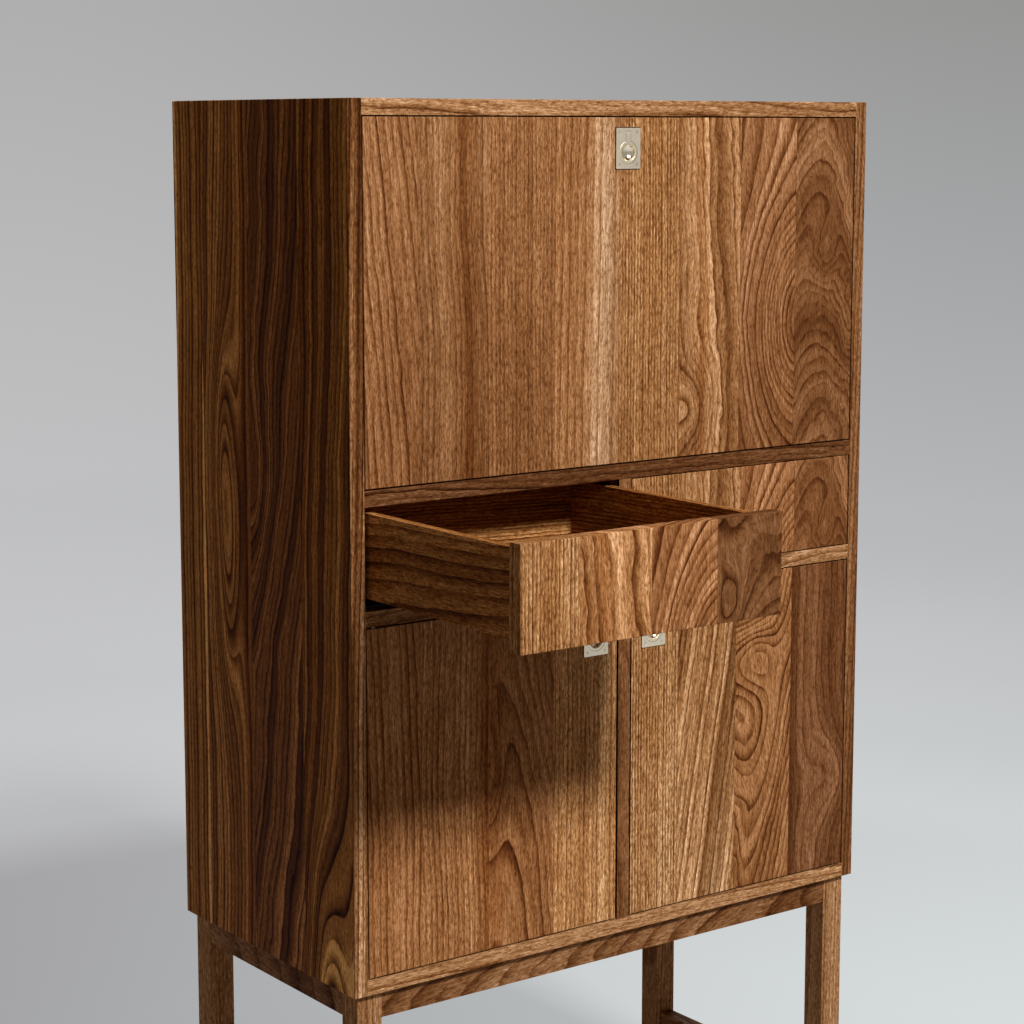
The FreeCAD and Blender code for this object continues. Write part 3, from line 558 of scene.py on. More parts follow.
# How near a stave the pith may lie before its fibres run straight, and how closely the
# fibres of other staves follow the rings.
NEAR_PITH = 0.35
FIBRE_FOLLOWS = 0.8
# The recesses round the pulls' plates and the gaps' edges, by the cabinet's depth, where shade is
# painted, and its colour.
RECESS_FACE = -0.0597
RECESS_BACK = -0.046
RECESS_HALF = (0.0225, 0.029)
REVEAL_FACE = -0.0588
REVEAL_BACK = -0.0535
PAINTED_SHADE_TONE = (0.0044, 0.0024, 0.0012)
# Half the width of a glue line, where it is darkest and where it ends.
GLUE_LINE = (0.0001, 0.0007)
# How far the noise moves on from one stave to the next.
STAVE_STEP = 3.7

# The ranges of a stave's values, and which three values share a ramp.
PLACE = Span(-2.0, 2.0)
HEIGHT = Span(-0.25, 0.25)
REACH = Span(0.0, 0.6)
FINE = Span(0.0, 0.05)
CONTRAST = Span(-1.5, 1.5)
STAVE_RAMPS: tuple[tuple[tuple[str, Span], ...], ...] = (
    (("pith_u", PLACE), ("pith_v", PLACE), ("taper", CONTRAST)),
    (("eye_u", PLACE), ("eye_w", PLACE), ("eye_rise", HEIGHT)),
    (("eye_across", REACH), ("eye_along", REACH), ("curl", FINE)),
    (("spacing", FINE), ("ring", CONTRAST), ("fibre", CONTRAST)),
    (("streak_u", PLACE), ("streak_wide", REACH), ("streak", CONTRAST)),
    (("band", CONTRAST), ("sway", FINE), ("lean", CONTRAST)),
    (("fleck", CONTRAST), ("fade", CONTRAST), ("fade_middle", PLACE)),
)

# The layers of noise, from the grain's slow wandering to single pores.
SLOW = Layer(2.5, 2.2, 1.0)
TWIST = Layer(13.0, 7.0, 3.0, 0.6, (1.0, -1.0))
PATCH = Layer(60.0, 9.0, 2.0, 0.6, (1.0, -1.0))
FIBRE = Layer(560.0, 34.0, 3.0, 0.72, (0.0, 1.0))
SPECKS = Layer(420.0, 130.0, 2.0, 0.7, (1.0, -1.0))
CLOUD = Layer(9.0, 3.4, 2.0)
UNEVEN_PER_RING = 0.9
NARROW_PER_RING = 0.45
BROAD_PER_METRE = 26.0
PORES_FROM = (0.03, 0.14)
LEAN_FROM = 1.0


@dataclass(frozen=True)
class Walnut:
    """Oiled solid walnut: rings, pores, fibre and colour bands, stave by stave.

    Attributes:
        name: The material's name.
        cut: How the board is sawn.
        staves: The staves, in order across the board.
        seam: How dark the glue lines are.
        roughness: The oiled surface's roughness.
        sheen: Its specular level.
        recess: The middle of a pull's recess, across and up, round which shade is painted, if there
            is one.
        painted_gap_shade: Whether shade is painted on the narrow edges in a gap.
        strengths: How strongly each part of the figure shows.
    """

    name: str
    cut: Cut
    staves: tuple[Stave, ...]
    seam: float = 0.28
    roughness: float = 0.56
    sheen: float = 0.06
    recess: Optional[Pair] = None
    painted_gap_shade: bool = False
    strengths: Strengths = Strengths()

    def _point(self, bench: Bench) -> tuple[Signal, Signal, Signal]:
        """The point in the board's own directions.

        Args:
            bench: The finish's node maker.

        Returns:
            Its place across, into and along the grain.
        """
        place = bench.place()
        cut = self.cut
        across, depth, along = (place[a.value] for a in (cut.across, cut.depth, cut.along))
        if cut.turned_behind is not None:
            low, high = cut.turned_between
            back = place[1].above(cut.turned_behind) * place[0].above(low)
            back = back * (1.0 - place[0].above(high))
            depth, along = bench.blend(back, depth, along), bench.blend(back, along, depth)
        return across + cut.shift[0], depth + cut.shift[1], along + cut.shift[2]

    def _number(self, across: Signal) -> tuple[Value, Value]:
        """Which stave a point lies in, and how near a glue line it is.

        Args:
            across: The point's place across the board.

        Returns:
            The stave's number, and 1 on a glue line and 0 away from it.
        """
        number: Value = 0.0
        line: Value = 0.0
        for stave in self.staves[:-1]:
            number = number + across.above(stave.edge)
            line = line + (1.0 - (across - stave.edge).plain("ABSOLUTE").rise(*GLUE_LINE))
        return number, line

    def _ramp(self, bench: Bench, pick: Value, colours: Sequence[Triple]) -> Signal:
        """A colour that changes from stave to stave."""
        stops = [(i / len(colours), colour) for i, colour in enumerate(colours)]
        return bench.add("ShaderNodeValToRGB", {"ramp": "CONSTANT", "stops": stops}, {0: pick})

    def _picked(self, bench: Bench, pick: Value) -> dict[str, Signal]:
        """The values of the stave that a point lies in.

        Args:
            bench: The finish's node maker.
            pick: The stave's place in the ramps, from 0 to 1.

        Returns:
            The values by name.
        """
        rows = [stave.values() for stave in self.staves]
        found = {}
        for group in STAVE_RAMPS:
            packed = [tuple(span.pack(row[name]) for name, span in group) for row in rows]
            shares = self._ramp(bench, pick, packed).parts()
            for (name, span), share in zip(group, shares):
                found[name] = span.unpack(share)
        return found

    def _painted_shade(self, bench: Bench, colour: Signal) -> Signal:
        """The colour, with shade painted in a pull's recess and on the edges in a gap.

        Args:
            bench: The finish's node maker.
            colour: The wood's colour.

        Returns:
            The colour with its painted shade.
        """
        x, y, z = bench.place()
        if self.recess is not None:
            inside = y.above(RECESS_FACE) * (1.0 - y.above(RECESS_BACK))
            for place, centre, half in zip((x, z), self.recess, RECESS_HALF):
                inside = inside * (1.0 - (place - centre).plain("ABSOLUTE").above(half))
            # Painted shade in the recess round a pull's plate.
            colour = bench.tint(inside, colour, PAINTED_SHADE_TONE)
        if self.painted_gap_shade:
            edges = y.above(REVEAL_FACE) * (1.0 - y.above(REVEAL_BACK))
            # Painted shade on the edges in a gap.
            colour = bench.tint(edges, colour, PAINTED_SHADE_TONE)
        return colour

    def build(self) -> bpy.types.Material:
        """Makes the material.

        Returns:
            The finished material.
        """
        bench = Bench(self.name)
        much = self.strengths
        u, v, w = self._point(bench)
        number, glue = self._number(u)
        pick = (number + 0.5) / float(len(self.staves))
        own = number * STAVE_STEP + self.cut.seed
        stave = self._picked(bench, pick)

        slow = SLOW.lay(bench, (u, v, w), own)
        twist = TWIST.lay(bench, (u, v, w), own)
        patch = PATCH.lay(bench, (u, v, w), own)
        cloud = CLOUD.lay(bench, (u, v, w), own)
        flow = u + stave["sway"] * much.wander * slow + stave["curl"] * much.wander * twist
        radius = ((flow - stave["pith_u"]) ** 2.0 + (v - stave["pith_v"]) ** 2.0).plain("SQRT")
        beside = (flow - stave["eye_u"]) / stave["eye_across"]
        beyond = (w - stave["eye_w"]) / stave["eye_along"]
        knot = ((beside ** 2.0 + beyond ** 2.0) * -1.0).plain("EXPONENT")
        climb = w + slow * much.climb_slow + twist * much.climb_twist
        distance = radius - stave["taper"] * climb + stave["eye_rise"] * knot
        phase = distance / stave["spacing"]
        turn = phase.plain("FRACT")
        edge = turn ** much.line_power * (1.0 - turn.rise(*much.line_end))
        uneven = bench.noise(phase * UNEVEN_PER_RING + own, 0.0)
        broad = bench.noise(distance * BROAD_PER_METRE + own, 2.0)
        narrow = bench.noise(phase * NARROW_PER_RING - own, 1.0)

        drift = flow - stave["lean"] * (w - LEAN_FROM)
        fine = FIBRE.lay(bench, (drift, v, w), own)
        specks = SPECKS.lay(bench, (drift, v, w), own)
        pores = specks.rise(*PORES_FROM)
        aside = (drift - stave["streak_u"]) / stave["streak_wide"]
        glow = (aside ** 2.0 * -1.0).plain("EXPONENT")
        glow = glow * (1.0 + cloud * much.glow_cloud + patch * much.glow_patch)
        pale = stave["streak"] * glow

        lines = (much.line + uneven * much.line_uneven + patch * much.line_patch).least(0.0)
        shade = stave["ring"] * (much.early_wood - edge * lines)
        shade = shade + stave["band"] * (broad * much.broad + narrow * much.narrow)
        shade = shade + stave["fibre"] * (fine * much.fibre + much.fibre_base - pores * much.pore)
        shade = shade - stave["fleck"] * specks * much.speck
        shade = shade + cloud * much.cloud + pale + stave["fade"] * (w - stave["fade_middle"])
        shade = shade - glue * self.seam
        warmth = bench.join(
            (shade * much.warm_red[0] - pale * much.warm_red[1]).plain("EXPONENT"),
            shade.plain("EXPONENT"),
            (shade * much.warm_blue[0] + pale * much.warm_blue[1]).plain("EXPONENT"),
        )
        tone = self._ramp(bench, pick, [linear(*one.tone) for one in self.staves])
        gloss = self.roughness - shade * much.gloss_shade + pores * much.gloss_pore
        height = fine * much.rise[0] - pores * much.rise[1] - edge * much.rise[2]
        return bench.finish(
            Base_Color=self._painted_shade(bench, tone * warmth),
            Roughness=gloss.least(much.gloss_least),
            Normal=bench.relief(much.bump, much.relief, height),
            Specular_IOR_Level=self.sheen,
        )


@dataclass(frozen=True)
class Ranges:
    """What a plain board's staves are drawn from, as the lowest and the highest value.

    Attributes:
        change: The colour's change.
        middle: Where the pith lies in a flat-sawn stave, as a share of its width.
        flat: The share of flat-sawn staves.
        flat_depth: How deep the pith of these lies, in metres.
        flat_taper: How fast their rings widen, one way or the other.
        flat_spacing: Their rings' width.
        straight_pith: Where the pith of the other staves lies, across and deep.
        straight_taper: How fast the rings of these widen.
        straight_spacing: Their rings' width.
        ring: The rings' contrast.
        band: The contrast of broad colour bands.
        sway: How far the grain wanders.
        curl: How far it twists.
    """

    change: Pair = (0.86, 1.12)
    middle: Pair = (0.2, 0.8)
    flat: float = 0.45
    flat_depth: Pair = (0.02, 0.06)
    flat_taper: Pair = (0.03, 0.05)
    flat_spacing: Pair = (0.0018, 0.0028)
    straight_pith: Pair = (1.0, 0.3)
    straight_taper: Pair = (-0.02, 0.02)
    straight_spacing: Pair = (0.004, 0.007)
    ring: Pair = (0.36, 0.6)
    band: Pair = (0.22, 0.36)
    sway: Pair = (0.004, 0.014)
    curl: Pair = (0.001, 0.004)


RANGES = Ranges()


def planks(
    start: float,
    width: float,
    count: int,
    tone: Triple,
    seed: int,
    level: float = 0.0,
    **values: float,
) -> tuple[Stave, ...]:
    """Staves of one wide board, each a little unlike the next.

    Args:
        start: Where the first stave starts across the board, in metres.
        width: One stave's width, in metres.
        count: The number of staves.
        tone: The middle colour.
        seed: Makes this board's draw its own.
        level: How high the pith of the flat-sawn staves lies, in metres.
        values: Further values that all the staves share.

    Returns:
        The staves, in order across the board.
    """
    draw = random.Random(seed)
    made = []
    for number in range(count):
        change = draw.uniform(*RANGES.change)
        middle = start + (number + draw.uniform(*RANGES.middle)) * width
        if draw.random() < RANGES.flat:
            pith = (middle, level + draw.uniform(*RANGES.flat_depth))
            taper = draw.uniform(*RANGES.flat_taper) * draw.choice((-1, 1))
            spacing = draw.uniform(*RANGES.flat_spacing)
        else:
            far, deep = RANGES.straight_pith
            pith = (draw.choice((-far, far)), deep)
            taper = draw.uniform(*RANGES.straight_taper)
            spacing = draw.uniform(*RANGES.straight_spacing)
        facts = {
            "edge": start + (number + 1) * width,
            "tone": tuple(part * change for part in tone),
            "pith": pith,
            "taper": taper,
            "spacing": spacing,
            "ring": draw.uniform(*RANGES.ring),
            "band": draw.uniform(*RANGES.band),
            "sway": draw.uniform(*RANGES.sway),
            "curl": draw.uniform(*RANGES.curl),
        }
        made.append(Stave(**{**facts, **values}))
    return tuple(made)


def toned(staves: Sequence[Stave], gains: Sequence[float]) -> tuple[Stave, ...]:
    """The same staves, each lighter or darker.

    Args:
        staves: The staves of a board.
        gains: What each stave's colour is multiplied by.

    Returns:
        The new staves.
    """
    return tuple(
        replace(stave, tone=tuple(part * gain for part in stave.tone))
        for stave, gain in zip(staves, gains)
    )


# The staves of the panels, from left to right, and of the left side panel from the front.
LEAF_STAVES = (
    Stave(-0.344, (145, 95, 56), (-1.6, 0.3), -0.10, 0.0115, 0.85, 0.34, 0.25, 0.004, 0.020,
          fleck=0.30, fade=(0.6, 1.34)),
    Stave(-0.234, (139, 92, 54), (-1.6, 0.3), -0.02, 0.0085, 0.45, 0.38, 0.3, 0.003, 0.008,
          streak=(-0.262, 0.018, -0.36), fleck=0.30, fade=(0.5, 1.34)),
    Stave(-0.124, (145, 95, 55), (-1.6, 0.3), 0.0, 0.0064, 0.55, 0.36, 0.14, 0.0006, 0.003,
          fleck=0.40, fade=(0.4, 1.34)),
    Stave(-0.014, (159, 107, 64), (-1.6, 0.3), 0.015, 0.0125, 0.5, 0.38, 0.22, 0.003, 0.006,
          streak=(-0.040, 0.028, 0.72), fleck=0.32),
    Stave(0.0953, (160, 110, 65), (1.6, 0.3), 0.0, 0.0052, 0.9, 0.38, 0.2, 0.0008, 0.003,
          streak=(0.045, 0.02, -0.14), fleck=0.45),
    Stave(0.2068, (164, 114, 71), (0.6, 0.2), 0.03, 0.0120, 0.75, 0.36, 0.65, 0.018, 0.016,
          eye=(0.118, 1.17, 0.055, 0.050, 0.065), streak=(0.140, 0.007, -0.5), fleck=0.35,
          fade=(0.7, 1.36)),
    Stave(0.3128, (137, 88, 51), (-0.1, 1.2), 0.0, 0.0100, 1.05, 0.34, 0.35, 0.007, 0.012,
          eye=(0.322, 1.29, 0.15, 0.085, 0.150), fleck=0.28, fade=(1.2, 1.34)),
    Stave(0.427, (123, 78, 44), (0.345, 0.008), -0.30, 0.0070, 0.65, 0.30, 0.55, 0.026, 0.045,
          eye=(0.352, 1.385, 0.036, 0.028, 0.05), fleck=0.26, fade=(-0.3, 1.34)),
)
LEFT_DOOR_STAVES = (
    Stave(-0.344, (159, 105, 62), (-1.6, 0.3), -0.03, 0.0105, 0.9, 0.34, 0.25, 0.003, 0.014,
          fleck=0.3),
    Stave(-0.234, (164, 110, 66), (-1.6, 0.3), -0.01, 0.0085, 0.6, 0.38, 0.25, 0.003, 0.01,
          streak=(-0.24, 0.014, -0.45), fleck=0.34),
    Stave(-0.124, (159, 105, 62), (-0.222, 0.02), -0.10, 0.0085, 0.75, 0.36, 0.4, 0.006, 0.012,
          eye=(-0.23, 0.70, 0.03, 0.02, 0.09), streak=(-0.222, 0.010, -0.5), fleck=0.3),
    Stave(0.0, (184, 129, 79), (1.6, 0.3), 0.0, 0.0075, 0.6, 0.4, 0.25, 0.001, 0.006,
          streak=(-0.035, 0.02, 0.3), fleck=0.42),
)
RIGHT_DOOR_STAVES = (
    Stave(0.099, (172, 123, 77), (1.6, 0.3), 0.0, 0.0050, 1.0, 0.40, 0.2, 0.0006, 0.003,
          streak=(0.045, 0.028, -0.22), fleck=0.50, fade=(-0.7, 0.69)),
    Stave(0.2084, (160, 110, 66), (-1.6, 0.3), 0.15, 0.0100, 0.85, 0.40, 0.9, 0.002, 0.008,
          streak=(0.232, 0.020, 0.40), fleck=0.36, fade=(-1.1, 0.69)),
    Stave(0.3167, (152, 100, 58), (0.225, -0.03), 0.24, 0.0082, 1.0, 0.32, 0.4, 0.018, 0.030,
          eye=(0.235, 0.80, 0.060, 0.050, 0.060), fleck=0.26),
    Stave(0.427, (113, 69, 38), (1.6, 0.3), 0.02, 0.012, 0.55, 0.32, 0.8, 0.012, 0.020,
          eye=(0.405, 0.6, 0.05, 0.045, 0.07), fleck=0.28),
)
# The left side's tones are darker and less blue than the front's: partly the wood's own colour,
# partly painted shade of the side in shade.
LEFT_SIDE_STAVES = (
    # The front edge's stave is painted lighter lower down, where the open drawer's shadow falls:
    # painted light.
    Stave(-0.058, (127, 82, 45), (0.0, -1.6), 0.02, 0.0075, 1.1, 0.4, 1.3, 0.014, 0.034,
          fleck=0.35, fade=(-1.3, 1.24)),
    Stave(0.061, (139, 84, 33), (1.2, 0.2), 0.02, 0.0082, 1.4, 0.44, 1.15, 0.007, 0.024,
          eye=(0.018, 0.27, 0.11, 0.058, 0.34), streak=(0.045, 0.02, -0.3), fleck=0.3),
    Stave(0.191, (119, 66, 25), (-1.0, 0.2), -0.16, 0.0100, 1.45, 0.44, 1.15, 0.007, 0.024,
          eye=(0.185, 1.08, 0.05, 0.04, 0.14), fleck=0.28),
    Stave(0.315, (156, 98, 46), (1.5, -0.3), 0.01, 0.0100, 1.5, 0.44, 1.15, 0.004, 0.018,
          eye=(0.262, 1.04, 0.09, 0.034, 0.24), streak=(0.205, 0.012, -0.5), fleck=0.28,
          fade=(0.3, 1.0)),
    Stave(0.39, (166, 107, 51), (1.5, -0.3), 0.01, 0.0090, 1.5, 0.44, 1.15, 0.003, 0.012,
          fleck=0.26, fade=(0.3, 1.0)),
)
# The front edges of the other boards, and parts that are one stave wide.
SIDE_EDGE = Stave(-0.058, (136, 90, 53), (0.0, -1.6), 0.03, 0.0085, 0.9, 0.4, 0.8, 0.010, 0.024)
TOP_EDGE = Stave(0.055, (158, 110, 69), (-0.3, 1.72), 0.02, 0.0062, 0.7, 0.4, 0.6, 0.005, 0.016,
                 fade=(-0.45, 0.15))
# The floor board's front edge, under the leaf, is darker than the other edges as painted shade.
FLOOR_EDGE = Stave(0.055, (101, 61, 32), (-0.3, 1.2), 0.01, 0.0036, 0.9, 0.46, 0.35, 0.003, 0.008)
# The rail's front edge is painted darker towards the left, under the open drawer, and lighter to the
# right: painted shade and light.
RAIL_EDGE = Stave(0.055, (156, 109, 68), (-0.3, 1.05), -0.02, 0.0065, 0.7, 0.38, 0.5, 0.004, 0.014,
                  fade=(1.35, 0.15))
BOTTOM_EDGE = Stave(0.055, (160, 111, 69), (-0.3, 0.6), 0.02, 0.0065, 0.7, 0.38, 0.5, 0.004, 0.014)
LEG_STAVE = Stave(1.0, (158, 111, 70), (-0.9, 0.4), 0.012, 0.0065, 0.5, 0.4, 0.3, 0.001, 0.006)
RAIL_STAVE = Stave(1.0, (128, 84, 49), (0.40, 0.02), 0.16, 0.0085, 0.8, 0.34, 0.7, 0.012, 0.03)
WALL_STAVE = Stave(2.0, (165, 107, 55), (0.9, 0.05), -0.02, 0.0046, 1.1, 0.46, 0.45, 0.002, 0.010)
# The usual width of a stave behind the front edges, in metres.
PLANK = 0.11
# The noise of the leaf's figure, which the drawer fronts share.
LEAF_SEED = 3.0
# How metal is brushed, in lines a metre along x, y and z.
BRUSHED_ACROSS = (4000.0, 400.0, 400.0)
BRUSHED_UP = (4000.0, 4000.0, 260.0)
ROLLED_DEEP = (3000.0, 120.0, 3000.0)
TUMBLED = (2500.0, 2500.0, 2500.0)


@dataclass(frozen=True)
class Beech:
    """Plain turned beech with short flecks.

    Attributes:
        name: The material's name.
        tone: Its middle colour, of 0 to 255.
        flecks: The flecks a metre along x, y and z.
        clouds: The clouds a metre along x, y and z.
        contrast: How much flecks and clouds change the colour.
        roughness: Its middle roughness.
        gloss_change: How much flecks change the roughness.
    """

    name: str = "beech"
    tone: Triple = (214, 178, 132)
    flecks: Triple = (300.0, 900.0, 900.0)
    clouds: Triple = (30.0, 60.0, 60.0)
    contrast: Pair = (0.5, 0.4)
    roughness: float = 0.55
    gloss_change: float = 0.15

    def build(self) -> bpy.types.Material:
        """Makes the material.

        Returns:
            The finished material.
        """
        bench = Bench(self.name)
        fleck, cloud = bench.grain(self.flecks), bench.grain(self.clouds, 1.0)
        shade = (fleck * self.contrast[0] + cloud * self.contrast[1]).plain("EXPONENT")
        return bench.finish(
            Base_Color=bench.join(shade, shade, shade) * linear(*self.tone),
            Roughness=self.roughness + fleck * self.gloss_change,
        )


@dataclass(frozen=True)
class Metal:
    """A satin metal with fine brushing and a faint cast of tone.

    Attributes:
        name: The material's name.
        tone: Its middle colour, of 0 to 255.
        roughness: Its middle roughness.
        brush: The brushing's lines a metre along x, y and z.
        contrast: How much lines and smudges change the colour.
        relief: How high the lines stand, in metres.
        polished_behind: Behind this depth of the cabinet the metal is polished.
        smudges: The smudges a metre along x, y and z.
        shades: The darkest and the lightest part, as shares of the tone.
        gloss_change: How much lines and smudges change the roughness.
        bump: How strongly the lines show in the gloss.
        polish: The roughness where it is polished.
    """

    name: str
    tone: Triple
    roughness: float
    brush: Triple = (250.0, 4000.0, 4000.0)
    contrast: float = 0.12
    relief: float = 0.00004
    polished_behind: Optional[float] = None
    smudges: Triple = (60.0, 60.0, 60.0)
    shades: Pair = (0.86, 1.1)
    gloss_change: Pair = (0.12, 0.14)
    bump: float = 0.3
    polish: float = 0.16

    def build(self) -> bpy.types.Material:
        """Makes the material.

        Returns:
            The finished material.
        """
        bench = Bench(self.name)
        lines, smudge = bench.grain(self.brush), bench.grain(self.smudges)
        share = (0.5 + lines * self.contrast * 2.0 + smudge * self.contrast).rise(0.0, 1.0)
        base = linear(*self.tone)
        dark, light = (tuple(min(1.0, part * gain) for part in base) for gain in self.shades)
        gloss = self.roughness + lines * self.gloss_change[0] + smudge * self.gloss_change[1]
        if self.polished_behind is not None:
            behind = bench.place()[1].above(self.polished_behind)
            gloss = gloss - behind * (self.roughness - self.polish)
        return bench.finish(
            Base_Color=bench.tint(share, dark, light),
            Metallic=1.0,
            Roughness=gloss,
            Normal=bench.relief(self.bump, self.relief, lines),
        )


@dataclass(frozen=True)
class Plastic:
    """Moulded plastic with a fine spark-eroded grain.

    Attributes:
        name: The material's name.
        tone: Its colour, of 0 to 255.
        roughness: Its middle roughness.
        sparks: The grain's features a metre along x, y and z.
        wear: The worn patches a metre along x, y and z.
        worn_between: From where to where in its noise a patch wears.
        worn: The worn parts' colour, as a share of the tone.
        gloss_change: How much the grain changes the roughness.
        bump: How strongly the grain shows in the gloss.
        relief: How high the grain stands, in metres.
    """

    name: str
    tone: Triple
    roughness: float = 0.5
    sparks: Triple = (1800.0, 1800.0, 1800.0)
    wear: Triple = (70.0, 70.0, 70.0)
    worn_between: Pair = (0.2, 0.8)
    worn: float = 1.35
    gloss_change: float = 0.1
    bump: float = 0.3
    relief: float = 0.0001

    def build(self) -> bpy.types.Material:
        """Makes the material.

        Returns:
            The finished material.
        """
        bench = Bench(self.name)
        grain = bench.grain(self.sparks)
        share = (0.5 + bench.grain(self.wear)).rise(*self.worn_between)
        base = linear(*self.tone)
        return bench.finish(
            Base_Color=bench.tint(share, base, tuple(part * self.worn for part in base)),
            Roughness=self.roughness + grain * self.gloss_change,
            Normal=bench.relief(self.bump, self.relief, grain),
        )


Finish = Union[Walnut, Beech, Metal, Plastic]


# ---------------------------------------------------------------- sub-assemblies


def middle_of(node: str) -> Pair:
    """A node's middle, across and up."""
    low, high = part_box(node)
    return (low.x + high.x) / 2.0, (low.z + high.z) / 2.0


def dress(finish: Finish, *nodes: str) -> None:
    """Gives nodes of the cabinet one finish.

    Args:
        finish: The finish to make.
        nodes: The names of the nodes that take it.
    """
    material = finish.build()
    for name in nodes:
        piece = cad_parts[name]
        if not piece.material_slots:
            piece.data.materials.append(material)
        for place in piece.material_slots:
            place.material = material
        LOG.info("%s: %s", name, finish.name)


@dataclass(frozen=True)
class Case:
    """The case: side panels, level boards, uprights, back and inner shelves.

    Attributes:
        tone: The level boards' colour behind their front edges.
        side_tone: The right side panel's colour.
        upright_tone: The uprights' colour.
        inner_tone: The inner boards' colour.
        back_tone: The back panel's colour.
        front: Where the boards start at the front.
        side_plank: The width of a side panel's staves.
        inner_level: How high the pith of the inner boards' staves lies.
        back_start: Where the back panel's veneer starts at the left.
        back_leaf: The width of one leaf of it.
        back_seam: How dark its joints are.
        back_roughness: How rough it is.
    """

    tone: Triple = (150, 100, 60)
    side_tone: Triple = (140, 92, 54)
    upright_tone: Triple = (134, 88, 52)
    inner_tone: Triple = (140, 94, 56)
    back_tone: Triple = (150, 102, 62)
    front: float = -0.06
    side_plank: float = 0.1125
    inner_level: float = 0.93
    back_start: float = -0.45
    back_leaf: float = 0.15
    back_seam: float = 0.12
    back_roughness: float = 0.55

    def build(self) -> None:
        """Dresses the boards of the case."""
        x, y, z = Axis.X, Axis.Y, Axis.Z
        dress(Walnut("side_left", Cut(y, x, z, seed=2.0), LEFT_SIDE_STAVES), "side_panel_left")
        right = (SIDE_EDGE, *planks(self.front, self.side_plank, 4, self.side_tone, 5))
        dress(Walnut("side_right", Cut(y, x, z, seed=31.0), right), "side_panel_right")
        for board, node, seed, front, figure_seed, level in (
            ("top_board", "top_panel", 9.0, TOP_EDGE, 8, 1.38),
            ("floor_board", "bar_floor_board", 14.0, FLOOR_EDGE, 12, 0.0),
            ("rail_board", "drawer_rail", 21.0, RAIL_EDGE, 18, 0.0),
            ("bottom_board", "bottom_panel", 27.0, BOTTOM_EDGE, 24, 0.2),
        ):
            behind = planks(front.edge, PLANK, 3, self.tone, figure_seed, level=level)
            dress(Walnut(board, Cut(y, z, x, seed=seed), (front, *behind)), node)
        upright = planks(self.front, PLANK, 4, self.upright_tone, 33, taper=0.02)
        # The uprights get painted shade on their edges in the gaps.
        dress(
            Walnut("uprights", Cut(y, x, z, seed=35.0), upright, painted_gap_shade=True),
            "drawer_divider",
            "door_divider",
        )
        inner = planks(self.front, PLANK, 4, self.inner_tone, 41, level=self.inner_level)
        dress(
            Walnut("inner_boards", Cut(y, z, x, seed=44.0), inner),
            "bar_deck",
            "bar_shelf",
            "door_shelves",
        )
        leaves = planks(self.back_start, self.back_leaf, 6, self.back_tone, 52, ring=0.4, taper=0.035)
        cut = Cut(x, y, z, seed=55.0)
        veneer = Walnut("back_veneer", cut, leaves, self.back_seam, self.back_roughness)
        dress(veneer, "back_panel")
        dress(Beech(), "wood_dowels")


@dataclass(frozen=True)
class LegFrame:
    """The frame under the case: four legs, top rails and low stretchers.

    Attributes:
        first_seed: The seed of the first leg's figure.
        seed_step: How far the next leg's seed lies from it.
        glide_tone: The foot glides' colour.
        screw_tone: The colour of bolts, screws and shelf pins.
        screw_roughness: How rough these are.
    """

    first_seed: float = 60.0
    seed_step: float = 7.0
    glide_tone: Triple = (62, 52, 44)
    screw_tone: Triple = (196, 194, 190)
    screw_roughness: float = 0.34

    def build(self) -> None:
        """Dresses the legs, rails, stretchers, glides and bolts."""
        x, y, z = Axis.X, Axis.Y, Axis.Z
        for number, corner in enumerate(("front_left", "front_right", "back_left", "back_right")):
            cut = Cut(x, y, z, seed=self.first_seed + self.seed_step * number)
            dress(Walnut(f"leg_{corner}", cut, (LEG_STAVE,)), f"leg_{corner}")
        dress(
            Walnut("cross_rails", Cut(z, y, x, seed=90.0), (RAIL_STAVE,)),
            "base_rail_front",
            "base_rail_back",
        )
        dress(
            Walnut("side_rails", Cut(z, x, y, seed=96.0), (RAIL_STAVE,)),
            "base_side_rails",
            "side_stretchers",
        )
        dress(Plastic("glide_plastic", self.glide_tone), "foot_glides")
        plated = Metal("plated_screws", self.screw_tone, self.screw_roughness)
        dress(plated, "base_bolts", "back_screws", "shelf_pins")


@dataclass(frozen=True)
class DropFront:
    """The fold-out shelf with its pivots, stays and magnetic catches.

    Attributes:
        hinge_tone: The colour of pivot plates, posts and brackets.
        hinge_roughness: How rough these are.
        stay_tone: The colour of the stays' rods and guides.
        stay_roughness: How rough these are.
        housing_tone: The catches' colour.
        housing_roughness: How rough these are.
    """

    hinge_tone: Triple = (198, 192, 180)
    hinge_roughness: float = 0.32
    stay_tone: Triple = (204, 201, 194)
    stay_roughness: float = 0.26
    housing_tone: Triple = (34, 33, 32)
    housing_roughness: float = 0.45

    def build(self) -> None:
        """Dresses the leaf and its fittings."""
        x, y, z = Axis.X, Axis.Y, Axis.Z
        recess = middle_of("drop_front_pull_plate")
        cut = Cut(x, y, z, seed=LEAF_SEED)
        # The leaf gets painted shade in the recess round its pull's plate.
        dress(Walnut("leaf", cut, LEAF_STAVES, recess=recess), "drop_front")
        satin = Metal("hinge_nickel", self.hinge_tone, self.hinge_roughness, BRUSHED_ACROSS)
        dress(satin, "leaf_pivot_plates", "drop_front_fittings", "stay_posts", "stay_brackets")
        dress(
            Metal("stay_nickel", self.stay_tone, self.stay_roughness, BRUSHED_ACROSS),
            "stay_rod_left",
            "stay_rod_right",
            "stay_guide_left",
            "stay_guide_right",
        )
        housing = Plastic("magnet_housing", self.housing_tone, self.housing_roughness)
        dress(housing, "magnetic_catches")


